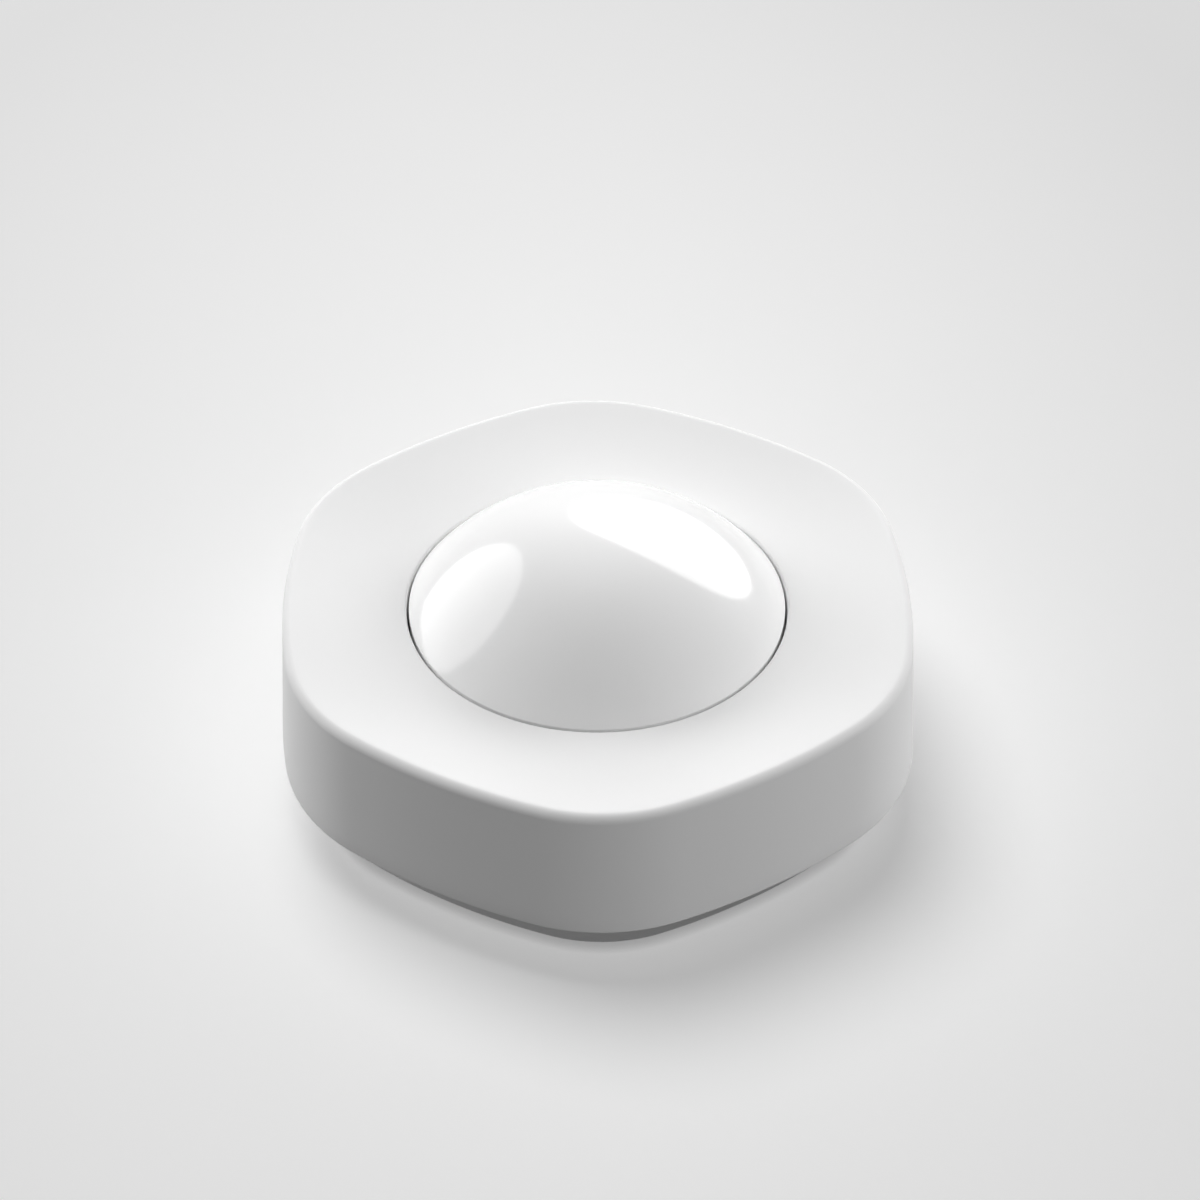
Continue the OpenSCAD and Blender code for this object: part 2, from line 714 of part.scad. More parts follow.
// The base without its bayonet stops
module base_body() {
    low_round = quarter(base_inset + base_fillet, base_z + base_fillet, base_fillet, -90, 0);
    fillet = [for (p = low_round) ring(p[0], p[1])];
    difference() {
        union() {
            difference() {
                skin(concat(fillet, [ring(base_inset, spigot_z)]));
                plate(base_in_d, base_floor_z, spigot_z + past);
            }
            band(wall_t - wall_flare + drop_gap, base_inset + base_wall / 2, lip_z, lip_top_z);
            disc(door_ring_r, base_z + base_t / 2, ledge_z + ledge_t);
            tube(well_r + well_wall, well_r - drop_gap, ledge_z, well_top_z);
            around(screw_angles, corner_ring_r) disc(boss_r, base_z + base_t / 2, pillar_z);
            around(foot_angles, corner_ring_r) disc(post_r, base_z + base_t * 0.75, board_z);
            around(probe_angles, side_ring_r) disc(probe_boss_r, base_z + base_t / 2, probe_boss_z);
        }
        disc(recess_r, base_z - past, ledge_z);
        disc(ledge_r, base_z, spigot_z);
        disc(well_r, ledge_z + ledge_t, spigot_z);
        for (t = probe_angles)
            sector(notch_r, ledge_r - past, base_z, spigot_z, t - door_turn - notch_angle / 2, notch_angle);
        around(screw_angles, corner_ring_r) {
            disc(screw_head_d / 2 + drop_gap, base_z - past, screw_seat_z);
            disc(screw_d / 2 + drop_gap, base_z, pillar_z + past);
        }
        around(foot_angles, corner_ring_r) {
            disc(foot_d / 2 + drop_gap, base_z - past, base_z + foot_sink);
            disc(frame_screw_d / 2 + thread_gap, frame_screw_z - screw_space, board_z + past);
        }
        around(probe_angles, side_ring_r) {
            disc(probe_head_d / 2 + drop_gap, base_z - past, probe_seat_z + probe_seal_t);
            disc(probe_d / 2 + drop_gap / 2, base_z, probe_boss_z + past);
        }
    }
}

// The door: a flush disc with a coin slot, a plug round the cell, bayonet tabs and a groove for the seal
module battery_door() {
    color([0.84, 0.84, 0.84]) difference() {
        union() {
            disc(door_r, base_z, door_in_z);
            tube(plug_r, plug_in_r, door_in_z - 0.5, plug_z);
            for (t = probe_angles)
                sector(tab_r, plug_r - plug_wall / 2, tab_z, tab_z + tab_t, t - tab_angle / 2, tab_angle);
        }
        tube(groove_in_r + groove_w, groove_in_r, door_in_z - groove_h, door_in_z + past);
        block(coin_slot_l - coin_slot_w, coin_slot_w, base_z - past, base_z + coin_slot_h);
        around([0, 180], (coin_slot_l - coin_slot_w) / 2)
            disc(coin_slot_w / 2, base_z - past, base_z + coin_slot_h);
    }
}

module door_seal() {
    section_r = (groove_h + ledge_z - door_in_z) / 2 - face_gap;
    section_z = door_in_z - groove_h + face_gap + section_r;
    color([0.12, 0.12, 0.12]) rotate_extrude()
        translate([groove_in_r + groove_w / 2, section_z]) circle(section_r);
}

module water_probes() {
    head_r = probe_head_d / 2;
    head_edge = 0.45;
    color([0.82, 0.76, 0.6]) around(probe_angles, side_ring_r) union() {
        rotate_extrude() polygon([
            [0, probe_head_z], [head_r - head_edge, probe_head_z], [head_r, probe_head_z + head_edge],
            [head_r, probe_seat_z], [0, probe_seat_z]]);
        disc(probe_d / 2, probe_seat_z - 0.3, probe_end_z);
    }
}

module probe_seals() {
    color([0.12, 0.12, 0.12]) around(probe_angles, side_ring_r)
        tube(probe_head_d / 2 - 0.1, probe_d / 2 + face_gap, probe_seat_z, probe_seat_z + probe_seal_t);
}

// A ring under each nut, with a strip that rises to the board
module probe_contacts() {
    strip_x = probe_boss_r - contact_t;
    strip_w = contact_w / 2;
    color([0.8, 0.8, 0.76]) around(probe_angles, side_ring_r) rotate([0, 0, 90]) difference() {
        union() {
            disc(contact_ring_r, probe_boss_z, probe_boss_z + contact_t);
            web(0, probe_boss_r, strip_w, probe_boss_z, probe_boss_z + contact_t);
            web(strip_x, probe_boss_r, strip_w, probe_boss_z, board_z);
        }
        disc(probe_d / 2 + face_gap, probe_boss_z - past, probe_boss_z + past);
    }
}

// Six-sided nuts, each with a flat towards the base's wall
module probe_nuts() {
    nut_r = probe_d / 2 + nut_wall;
    color([0.72, 0.72, 0.74]) around(probe_angles, side_ring_r) difference() {
        translate([0, 0, nut_z]) rotate([0, 0, 30]) cylinder(r = nut_r, h = nut_h, $fn = 6);
        disc(probe_d / 2 + thread_gap, nut_z - past, nut_z + nut_h + past);
    }
}

module base_screws() {
    slot_w = 0.2 * screw_d;
    slot_h = 0.9;
    color([0.6, 0.6, 0.62]) around(screw_angles, corner_ring_r) difference() {
        union() {
            disc(screw_d / 2, screw_seat_z - 0.5, pillar_z + screw_bite);
            disc(screw_head_d / 2, screw_head_z, screw_seat_z);
        }
        around([0, 90], 0) block(screw_d, slot_w, screw_head_z - past, screw_head_z + slot_h);
    }
}

module foot_pads() {
    pad_r = foot_d / 2;
    pad_edge = 0.4;
    pad_top_z = base_z + foot_sink;
    color([0.3, 0.3, 0.31]) around(foot_angles, corner_ring_r) rotate_extrude()
        polygon([[0, 0], [pad_r - pad_edge, 0], [pad_r, pad_edge], [pad_r, pad_top_z], [0, pad_top_z]]);
}

top_cover();
dome_button();
button_seal();
return_springs();
light_frame();
frame_screws();
main_board();
board_chips();
status_lamps();
switch_body();
switch_plunger();
buzzer();
radio_module();
buffer_capacitor();
antenna();
battery_holder();
coin_cell();
positive_contact();
negative_contact();
housing_gasket();
base_cover();
battery_door();
door_seal();
water_probes();
probe_seals();
probe_contacts();
probe_nuts();
base_screws();
foot_pads();
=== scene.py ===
"""Looks of a water leak sensor: a six-cornered housing with a glossy dome, standing on an inset base.

Laid out as an add-on. Each operator makes or dresses one piece, or one group of like pieces."""

import json
import math

import bmesh
import bpy
from bpy.props import FloatProperty, FloatVectorProperty, PointerProperty
from mathutils import Matrix, Vector


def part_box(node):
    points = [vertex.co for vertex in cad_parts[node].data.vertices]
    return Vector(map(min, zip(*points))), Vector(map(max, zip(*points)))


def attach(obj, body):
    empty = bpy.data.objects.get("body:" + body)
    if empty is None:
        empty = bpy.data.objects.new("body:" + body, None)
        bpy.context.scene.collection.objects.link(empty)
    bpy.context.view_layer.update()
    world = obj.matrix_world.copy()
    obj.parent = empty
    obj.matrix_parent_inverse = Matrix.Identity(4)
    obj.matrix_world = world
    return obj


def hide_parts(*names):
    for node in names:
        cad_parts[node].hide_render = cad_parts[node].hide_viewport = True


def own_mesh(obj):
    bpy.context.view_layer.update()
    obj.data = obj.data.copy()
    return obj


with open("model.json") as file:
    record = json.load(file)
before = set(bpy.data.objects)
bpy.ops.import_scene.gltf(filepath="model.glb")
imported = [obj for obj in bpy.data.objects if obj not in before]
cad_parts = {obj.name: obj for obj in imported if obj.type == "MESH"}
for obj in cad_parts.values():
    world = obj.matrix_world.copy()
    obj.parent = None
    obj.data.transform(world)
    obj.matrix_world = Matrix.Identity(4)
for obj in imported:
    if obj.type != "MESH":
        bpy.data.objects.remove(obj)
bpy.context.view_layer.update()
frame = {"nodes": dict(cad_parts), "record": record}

bl_info = {
    "name": "Water leak sensor looks",
    "version": (1, 0, 0),
    "blender": (4, 5, 0),
    "location": "View3D > Sidebar > Leak sensor",
    "description": "Builds the visible pieces of a water leak sensor and the studio round it",
    "category": "Object",
}

MM = 0.001
SAME_SPOT = 0.0005 * MM
ON_AXIS = 1e-9
PAD_R = 3.2 * MM
PROBE_HEAD_R = 2.6 * MM
RIB_HALF = 0.5 * MM
BLACK = (0.0, 0.0, 0.0, 1.0)
DUST = (0.62, 0.6, 0.56, 1.0)
DULL_DUST = (0.4, 0.39, 0.37, 1.0)
SIDES = [60 * i for i in range(6)]
SCREW_ANGLES = (30, 150, 270)
FOOT_ANGLES = (90, 210, 330)
PROBE_ANGLES = (0, 120, 240)
RECORD = frame["record"]
RECORD_COLOURS = {m["slot"]: m["base_color"] for m in RECORD["materials"]}
RECORD_SLOTS = {s["node"]: s["material_slot"] for s in RECORD["subparts"]}


def low_z(node):
    """Height of a node's lowest point."""
    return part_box(node)[0].z


def high_z(node):
    """Height of a node's highest point."""
    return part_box(node)[1].z


def reach_x(node):
    """How far a node reaches along +X."""
    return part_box(node)[1].x


def length(name, description, default):
    """A property that holds a length in metres."""
    return FloatProperty(name=name, description=description, default=default, unit="LENGTH", precision=5)


def strength(name, what, default):
    """A property that holds how bright something is."""
    return FloatProperty(name=name, description=f"Brightness of {what}", default=default, min=0)


def number(name, description, default):
    """A property that holds a plain number."""
    return FloatProperty(name=name, description=description, default=default)


def base_colour(slot):
    """A property that holds the base colour of one of the record's finishes."""
    return FloatVectorProperty(name=slot.replace("_", " ").capitalize(), description=f"Base colour of {slot}",
                               subtype="COLOR", size=3, default=RECORD_COLOURS[slot], min=0, max=1)


class CoverSizes(bpy.types.PropertyGroup):
    """Sizes of the housing's outline and its top cover"""
    side_reach: length("Side reach", "Half of the width across two opposite sides, at the rim", 32 * MM)
    side_r: length("Side radius", "Radius of each bulged side", 66.5 * MM)
    corner_r: length("Corner radius", "Radius of each of the six corners", 18.7 * MM)
    low_z: length("Lower edge", "Height of the cover's lower edge", low_z("top_cover"))
    rim_z: length("Rim", "Height of the rim", high_z("top_cover"))
    wall_flare: length("Wall flare", "How far the wall leans out at its lower edge", 1 * MM)
    wall_t: length("Wall", "Thickness of the side wall at the rim", 2.3 * MM)
    top_t: length("Top", "Thickness of the top", 2 * MM)
    rim_round: length("Rim rounding", "Radius of the rim's rounding", 0.9 * MM)
    edge_round: length("Edge rounding", "Radius of the lower edge's rounding", 0.5 * MM)
    inner_round: length("Inner edge", "Break at the lower edge's inside", 0.15 * MM)
    dish_depth: length("Dish depth", "Depth of the dished top at the button", 1.75 * MM)
    dish_power: number("Dish power", "How fast the dish steepens towards the rim", 1.6)
    hole_r: length("Hole radius", "Radius of the button's hole", 19.55 * MM)
    hole_round: length("Hole rounding", "Rounding of the hole's upper edge", 0.3 * MM)
    collar_wall: length("Collar wall", "Wall of the collar under the hole", 1.65 * MM)
    collar_z: length("Collar end", "Height of the collar's lower end", 15.9 * MM)
    collar_break: length("Collar edges", "Break at the collar's lower edges", 0.1 * MM)
    shoulder_w: length("Shoulder", "Width of the shoulder that presses on the gasket", 1.1 * MM)
    shoulder_z: length("Shoulder height", "Height of the shoulder", high_z("housing_gasket"))
    pillar_z: length("Pillar end", "Height of the lower ends of the screw pillars", 8.5 * MM)
    pillar_r: length("Pillar radius", "Radius of the screw pillars in the cover and the base", 2.8 * MM)
    bore_r: length("Pillar bore", "Radius of the bores that the base screws bite into", 1.23 * MM)
    bore_z: length("Bore end", "Height of the bores' upper ends", 15.5 * MM)
    web_half: length("Web", "Half of the thickness of the webs behind the pillars", 0.6 * MM)


class ButtonSizes(bpy.types.PropertyGroup):
    """Sizes of the domed button"""
    button_r: length("Button radius", "Radius of the button at its seam", 19.3 * MM)
    dome_rise: length("Dome rise", "Height of the dome above its seam", 9.5 * MM)
    dome_t: length("Dome wall", "Wall of the dome", 1.6 * MM)
    edge_round: length("Edge rounding", "Rounding where the dome meets its skirt", 0.14 * MM)
    flange_h: length("Flange height", "Thickness of the flange", 1 * MM)
    stem_r: length("Stem radius", "Radius of the stem", 2.5 * MM)
    stem_z: length("Stem end", "Height of the stem's lower end", 14.65 * MM)
    core_r: length("Core radius", "Radius of the hole up the stem", 1.2 * MM)
    spring_r: length("Spring radius", "Outer radius of the return springs", 1.55 * MM)
    wire_r: length("Spring wire", "Radius of the springs' wire", 0.175 * MM)
    spring_turns: number("Spring turns", "Turns of each return spring", 5.5)


class BaseSizes(bpy.types.PropertyGroup):
    """Sizes of the base and what is in its underside"""
    low_z: length("Underside", "Height of the underside", low_z("base_cover"))
    high_z: length("Spigot", "Height of the spigot's top", high_z("base_cover"))
    inset: length("Inset", "How far the base is set in from the rim", 3.05 * MM)
    wall: length("Wall", "Thickness of the side wall", 1.6 * MM)
    floor_t: length("Floor", "Thickness of the floor", 2 * MM)
    edge_round: length("Edge rounding", "Rounding of the lower edge", 0.4 * MM)
    lip_z: length("Lip", "Height of the lip's lower face", 6.9 * MM)
    lip_t: length("Lip thickness", "Thickness of the lip", 1.3 * MM)
    lip_offset: length("Lip offset", "How far the lip is set in from the rim", 1.5 * MM)
    corner_ring_r: length("Corner ring", "Distance of screws and feet from the middle",
                          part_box("foot_pads")[1].y - PAD_R)
    side_ring_r: length("Side ring", "Distance of the probes from the middle",
                        reach_x("water_probes") - PROBE_HEAD_R)
    recess_r: length("Door recess", "Radius of the recess for the door", 18.5 * MM)
    ring_r: length("Door ring", "Radius of the thick ring round the door", 19.8 * MM)
    ledge_r: length("Ledge radius", "Radius of the hole that the bayonet tabs pass", 14.55 * MM)
    ledge_z: length("Ledge", "Height of the ledge's lower face", 2.9 * MM)
    ledge_t: length("Ledge thickness", "Thickness of the ledge", 1.1 * MM)
    well_r: length("Well radius", "Radius of the battery well", 15.85 * MM)
    well_wall: length("Well wall", "Wall of the battery well", 1.5 * MM)
    well_z: length("Well top", "Height of the battery well's top", 8.2 * MM)
    mouth: length("Mouth rounding", "Rounding at the mouths of the holes", 0.2 * MM)


class DoorSizes(bpy.types.PropertyGroup):
    """Sizes of the battery door"""
    door_r: length("Door radius", "Radius of the door", reach_x("battery_door"))
    door_t: length("Door thickness", "Thickness of the door", 2 * MM)
    plug_in_r: length("Plug inside", "Inner radius of the plug", 12.75 * MM)
    plug_r: length("Plug radius", "Outer radius of the plug", 14.35 * MM)
    tab_r: length("Tab radius", "How far the bayonet tabs reach", 15.65 * MM)
    tab_z: length("Tab height", "Height of the tabs' lower faces", 4.15 * MM)
    tab_t: length("Tab thickness", "Thickness of the tabs", 1 * MM)
    groove_r: length("Groove radius", "Inner radius of the seal's groove", 16.2 * MM)
    groove_w: length("Groove width", "Width of the seal's groove", 1.3 * MM)
    groove_h: length("Groove depth", "Depth of the seal's groove", 1.1 * MM)
    slot_l: length("Slot length", "Length of the coin slot", 16 * MM)
    slot_w: length("Slot width", "Width of the coin slot", 1.8 * MM)
    slot_h: length("Slot depth", "Depth of the coin slot", 1.2 * MM)
    edge_round: length("Edge rounding", "Rounding of the door's rim", 0.3 * MM)


class Finishes(bpy.types.PropertyGroup):
    """Base colours of the finishes"""
    __annotations__ = {slot: base_colour(slot) for slot in RECORD_COLOURS}


class Studio(bpy.types.PropertyGroup):
    """Camera, lamps and floor"""
    camera_elevation: FloatProperty(name="Elevation", description="Camera's angle above the floor",
                                    default=math.radians(40), subtype="ANGLE")
    camera_azimuth: FloatProperty(name="Azimuth", description="Camera's angle round the sensor",
                                  default=math.radians(-1.7), subtype="ANGLE")
    camera_distance: length("Distance", "Camera's distance from the point that it looks at", 281.6 * MM)
    target_x: length("Target X", "Sideways place of the point that the camera looks at", 0.31 * MM)
    target_z: length("Target Z", "Height of the point that the camera looks at", 19.55 * MM)
    lens: number("Lens", "Focal length of the lens, in millimetres", 82.35)
    right_panel: strength("Right panel", "the panel behind on the right, seen in the dome", 5.0)
    left_panel: strength("Left panel", "the panel behind on the left, seen in the dome", 2.8)
    left_lamp: strength("Left lamp", "the low lamp on the left, a little behind", 6.2)
    right_lamp: strength("Right lamp", "the low lamp on the right, a little behind", 5.4)
    back_lamp: strength("Back lamp", "the low lamp straight behind", 5.2)
    side_lamp: strength("Side lamp", "the raised lamp on the left", 3.3)
    high_lamp: strength("High lamp", "the high lamp behind", 2.6)
    front_lamp: strength("Front lamp", "the low lamp in front on the right", 3.1)
    fill_lamp: strength("Fill lamp", "the raised lamp in front on the right", 1.5)
    shadow_lamp: strength("Shadow lamp", "the lamp that throws the shadow on the floor", 3.9)
    bounce: strength("Bounce", "the light that the floor throws back on the sensor", 0.27)
    # The floor glow carries the painted pool of light behind the sensor and the painted contact shade round
    # it.
    floor_glow: strength("Floor glow", "the even part of the floor's brightness", 0.34)
    backdrop: strength("Backdrop", "what is seen beyond the floor", 0.75)
    floor_colour: FloatVectorProperty(name="Floor", description="Colour of the floor", subtype="COLOR",
                                      size=3, default=(0.8, 0.8, 0.8), min=0, max=1)
    floor_r: length("Floor radius", "Radius of the floor", 3.0)


GROUPS = {
    "sensor_cover": CoverSizes,
    "sensor_button": ButtonSizes,
    "sensor_base": BaseSizes,
    "sensor_door": DoorSizes,
    "sensor_finishes": Finishes,
    "sensor_studio": Studio,
}

SIDE_STEPS = 22
CORNER_STEPS = 22
LATHE_STEPS = 192


def unit(angle):
    """The level direction at an angle in degrees."""
    return Vector((math.cos(math.radians(angle)), math.sin(math.radians(angle)), 0))


def at(point, z):
    """The place at height z over or under a point."""
    return Vector((point.x, point.y, z))


def outline(cover, offset):
    """Points of the six-cornered outline, moved inwards by offset: six side arcs and six corner arcs."""
    side_c = cover.side_reach - cover.side_r
    b = -2 * math.cos(math.radians(30)) * side_c
    k = side_c ** 2 - (cover.side_r - cover.corner_r) ** 2
    corner_c = (math.sqrt(b * b - 4 * k) - b) / 2
    half = math.degrees(math.atan2(corner_c / 2, corner_c * math.cos(math.radians(30)) - side_c))
    points = []
    for side in SIDES:
        for step in range(SIDE_STEPS):
            turn = half * (2 * step / SIDE_STEPS - 1)
            points.append(side_c * unit(side) + (cover.side_r - offset) * unit(side + turn))
        for step in range(CORNER_STEPS):
            turn = half + (60 - 2 * half) * step / CORNER_STEPS
            points.append(corner_c * unit(side + 30) + (cover.corner_r - offset) * unit(side + turn))
    return points


def ring(cover, offset, z, share=0, radius=0):
    """The outline at height z, moved inwards by offset and drawn by a share towards a circle."""
    return [at((1 - share) * p + share * radius * p.normalized(), z) for p in outline(cover, offset)]


def quarter(middle, z, radius, start, end, steps):
    """Offsets and heights of a fillet round a centre, from one angle to another."""
    turns = [math.radians(start + (end - start) * i / steps) for i in range(steps + 1)]
    return [(middle - radius * math.cos(t), z + radius * math.sin(t)) for t in turns]


def arc(middle_z, radius, start, end, steps):
    """Points (r, z) of an arc round a point of the axis, between two angles from straight up, in radians."""
    turns = [start + (end - start) * i / steps for i in range(steps + 1)]
    return [(radius * math.sin(t), middle_z + radius * math.cos(t)) for t in turns]


def mouth(radius, z, rounding, steps, way=1):
    """Radii and heights from a face at z into a hole, whose mouth is rounded: up for 1, down for -1."""
    turns = [math.radians(90 * i / steps) for i in range(steps + 1)]
    return [(radius + rounding * (1 - math.sin(t)), z + way * rounding * (1 - math.cos(t))) for t in turns]


def softened(profile, steps=5):
    """A profile of (r, z) or (r, z, rounding) corners with each rounded corner turned into an arc."""
    out = []
    count = len(profile)
    for i, corner in enumerate(profile):
        here = Vector(corner[:2])
        rounding = corner[2] if len(corner) > 2 else 0
        before, after = Vector(profile[i - 1][:2]), Vector(profile[(i + 1) % count][:2])
        to_before, to_after = (before - here).normalized(), (after - here).normalized()
        half = to_before.angle(to_after) / 2 if rounding else 0
        if not rounding or math.pi / 2 - half < 0.02:
            out.append(here)
            continue
        middle = here + (to_before + to_after).normalized() * rounding / math.sin(half)
        first = here + to_before * rounding / math.tan(half)
        last = here + to_after * rounding / math.tan(half)
        sweep = (first - middle).angle_signed(last - middle)
        for step in range(steps + 1):
            turned = (first - middle).copy()
            turned.rotate(Matrix.Rotation(-sweep * step / steps, 2))
            out.append(middle + turned)
    return out


def new_piece(name, points, faces, sharp=35):
    """A mesh object with smooth faces, whose edges stay sharp above an angle."""
    mesh = bpy.data.meshes.new(name)
    mesh.from_pydata([tuple(p) for p in points], [], faces)
    mesh.validate()
    piece = bpy.data.objects.new(name, mesh)
    bpy.context.scene.collection.objects.link(piece)
    shade(piece, sharp)
    return piece


def shade(piece, sharp=35):
    """Smooth faces, with edges sharp above an angle."""
    piece.data.shade_smooth()
    piece.data.set_sharp_from_angle(angle=math.radians(sharp))


def loft(name, rings, closed=False, sharp=35):
    """A skin through rings of equal counts: closed on itself like a tyre, or capped at both ends."""
    n, m = len(rings[0]), len(rings)
    faces = []
    for j in range(m if closed else m - 1):
        low, high = j * n, (j + 1) % m * n
        faces += [(low + i, low + (i + 1) % n, high + (i + 1) % n, high + i) for i in range(n)]
    if not closed:
        faces += [tuple(range(n - 1, -1, -1)), tuple((m - 1) * n + i for i in range(n))]
    return new_piece(name, [p for r in rings for p in r], faces, sharp)


def lathe(name, profile, steps=LATHE_STEPS, closed=True, sharp=35):
    """A profile of (r, z) points turned about the Z axis. A point at r = 0 is one vertex."""
    points, starts = [], []
    for p in profile:
        starts.append(len(points))
        around = [0] if p[0] < ON_AXIS else [360 * i / steps for i in range(steps)]
        points += [at(unit(angle) * p[0], p[1]) for angle in around]
    faces = []
    for j in range(len(profile) if closed else len(profile) - 1):
        k = (j + 1) % len(profile)
        a, b = starts[j], starts[k]
        flat_a, flat_b = profile[j][0] < ON_AXIS, profile[k][0] < ON_AXIS
        if flat_a and flat_b:
            continue
        for i in range(steps):
            i2 = (i + 1) % steps
            if flat_a:
                faces.append((a, b + i2, b + i))
            elif flat_b:
                faces.append((a + i, a + i2, b))
            else:
                faces.append((a + i, a + i2, b + i2, b + i))
    return new_piece(name, points, faces, sharp)


def solid(wall, steps=LATHE_STEPS):
    """A solid of revolution from the (r, z) corners of its wall, from the bottom up."""
    return lathe("solid", [(0, wall[0][1]), *wall, (0, wall[-1][1])], steps, closed=False)


def post(radius, z0, z1, steps=48):
    """An upright cylinder on the axis."""
    return solid([(radius, z0), (radius, z1)], steps)


def sector(name, r_out, r_in, z0, z1, start, sweep, steps=24):
    """A part of a tube over an angle."""
    corners = (r_in, z0), (r_out, z0), (r_out, z1), (r_in, z1)
    turns = [start + sweep * step / steps for step in range(steps + 1)]
    return loft(name, [[at(unit(turn) * r, z) for r, z in corners] for turn in turns])


def box(name, low, high):
    """A plain block between two corners, used for webs and ribs."""
    around = (low[0], low[1]), (high[0], low[1]), (high[0], high[1]), (low[0], high[1])
    return loft(name, [[Vector((x, y, z)) for x, y in around] for z in (low[2], high[2])])


def placed(piece, angle=0, radius=0):
    """Moves the mesh of a piece out to a radius and turns it about the middle."""
    turn = Matrix.Rotation(math.radians(angle), 4, "Z")
    piece.data.transform(turn @ Matrix.Translation((radius, 0, 0)))
    return piece


def outward(piece):
    """Makes every face of a closed mesh look outwards."""
    bm = bmesh.new()
    bm.from_mesh(piece.data)
    bmesh.ops.recalc_face_normals(bm, faces=bm.faces)
    bm.to_mesh(piece.data)
    bm.free()
    return piece


def carve(piece, tools, operation):
    """Joins the tools to the piece, or cuts them out of it, and removes them."""
    held = bpy.data.collections.new("tools")
    bpy.context.scene.collection.children.link(held)
    for tool in tools:
        outward(tool)
        bpy.context.scene.collection.objects.unlink(tool)
        held.objects.link(tool)
    outward(piece)
    cut = piece.modifiers.new("cut", "BOOLEAN")
    cut.operation = operation
    cut.operand_type = "COLLECTION"
    cut.collection = held
    cut.solver = "EXACT"
    bpy.context.view_layer.update()
    made = bpy.data.meshes.new_from_object(piece.evaluated_get(bpy.context.evaluated_depsgraph_get()))
    piece.modifiers.remove(cut)
    bm = bmesh.new()
    bm.from_mesh(made)
    bmesh.ops.remove_doubles(bm, verts=bm.verts, dist=SAME_SPOT)
    bmesh.ops.dissolve_degenerate(bm, edges=bm.edges, dist=SAME_SPOT)
    bm.to_mesh(made)
    bm.free()
    piece.data = made
    for tool in tools:
        bpy.data.objects.remove(tool)
    bpy.data.collections.remove(held)
    if not made.polygons:
        raise RuntimeError(f"cutting {piece.name} left nothing")
    return piece


class Web:
    """Adds nodes to a material or a node group and joins them."""

    def __init__(self, tree):
        self.tree = tree

    def add(self, kind, inputs=None, **settings):
        """A node with its settings, and with values or links in its inputs."""
        node = self.tree.nodes.new(kind)
        for key, value in settings.items():
            setattr(node, key, value)
        for key, value in (inputs or {}).items():
            self.feed(node.inputs[key], value)
        return node

    def feed(self, socket, value):
        """Links an output to an input, or sets the input's value."""
        if isinstance(value, bpy.types.NodeSocket):
            self.tree.links.new(value, socket)
        else:
            socket.default_value = value

    def math(self, operation, a, b=0.0, c=0.0, clamp=False):
        """The output of a math node."""
        return self.add("ShaderNodeMath", {0: a, 1: b, 2: c}, operation=operation, use_clamp=clamp).outputs[0]

    def remap(self, value, from_low, from_high, to_low=0.0, to_high=1.0):
        """A value moved from one range to another, and kept inside it."""
        given = {0: value, 1: from_low, 2: from_high, 3: to_low, 4: to_high}
        return self.add("ShaderNodeMapRange", given).outputs[0]

    def mix(self, share, a, b):
        """A colour between two colours."""
        return self.add("ShaderNodeMix", {0: share, 6: a, 7: b}, data_type="RGBA").outputs[2]

    def mix_value(self, share, a, b):
        """A value between two values."""
        return self.add("ShaderNodeMix", {0: share, 2: a, 3: b}, data_type="FLOAT").outputs[0]

    def scaled(self, value, factor):
        """A value times a factor."""
        return self.math("MULTIPLY", value, factor)

    def noise(self, vector, scale, detail=2.0, roughness=0.5, distortion=0.0):
        """The value of a noise texture."""
        given = {"Vector": vector, "Scale": scale, "Detail": detail, "Roughness": roughness,
                 "Distortion": distortion}
        return self.add("ShaderNodeTexNoise", given).outputs[0]

    def vector(self, operation, a, b=(0.0, 0.0, 0.0)):
        """The output of a vector math node: a length for LENGTH, else a vector."""
        made = self.add("ShaderNodeVectorMath", {0: a, 1: b}, operation=operation).outputs
        return made["Value" if operation == "LENGTH" else 0]

    def bump(self, shader, height, strength, depth):
        """Feeds a height into the shader's normal, with its depth in millimetres."""
        given = {"Strength": strength, "Distance": depth * MM, "Height": height}
        self.feed(shader["Normal"], self.add("ShaderNodeBump", given).outputs[0])

    def place(self):
        """The place on the surface, in the piece's own metres."""
        return self.add("ShaderNodeTexCoord").outputs["Object"]

    def group(self, name, inputs=None):
        """A shared effect placed in this tree."""
        made = self.add("ShaderNodeGroup", node_tree=bpy.data.node_groups[name])
        for key, value in (inputs or {}).items():
            self.feed(made.inputs[key], value)
        return made.outputs

    def mask(self, name, scale, amount):
        """The mask of a shared effect placed in this tree."""
        return self.group(name, {"Scale": scale, "Amount": amount})["Mask"]


def new_effect(name, inputs, outputs):
    """An empty shader node group with named inputs and outputs, and its web, start and end."""
    tree = bpy.data.node_groups.new(name, "ShaderNodeTree")
    for key, value in inputs.items():
        tree.interface.new_socket(key, in_out="INPUT", socket_type="NodeSocketFloat").default_value = value
    for key in outputs:
        tree.interface.new_socket(key, in_out="OUTPUT", socket_type="NodeSocketFloat")
    web = Web(tree)
    return web, web.add("NodeGroupInput").outputs, web.add("NodeGroupOutput").inputs


def moulded_grain():
    """The fine spark-eroded texture that a mould leaves: a height for bump and a tone for colour."""
    web, given, result = new_effect("moulded grain", {"Scale": 4000.0}, ("Height", "Tone"))
    place = web.place()
    fine = web.noise(place, given["Scale"], 2, 0.6)
    coarse = web.noise(place, web.scaled(given["Scale"], 0.31), 3, 0.55)
    broad = web.noise(place, web.scaled(given["Scale"], 0.012), 2, 0.5)
    web.feed(result["Height"], web.math("ADD", web.scaled(fine, 0.7), web.scaled(coarse, 0.3)))
    web.feed(result["Tone"], web.math("ADD", web.scaled(fine, 0.6), web.scaled(broad, 0.4)))


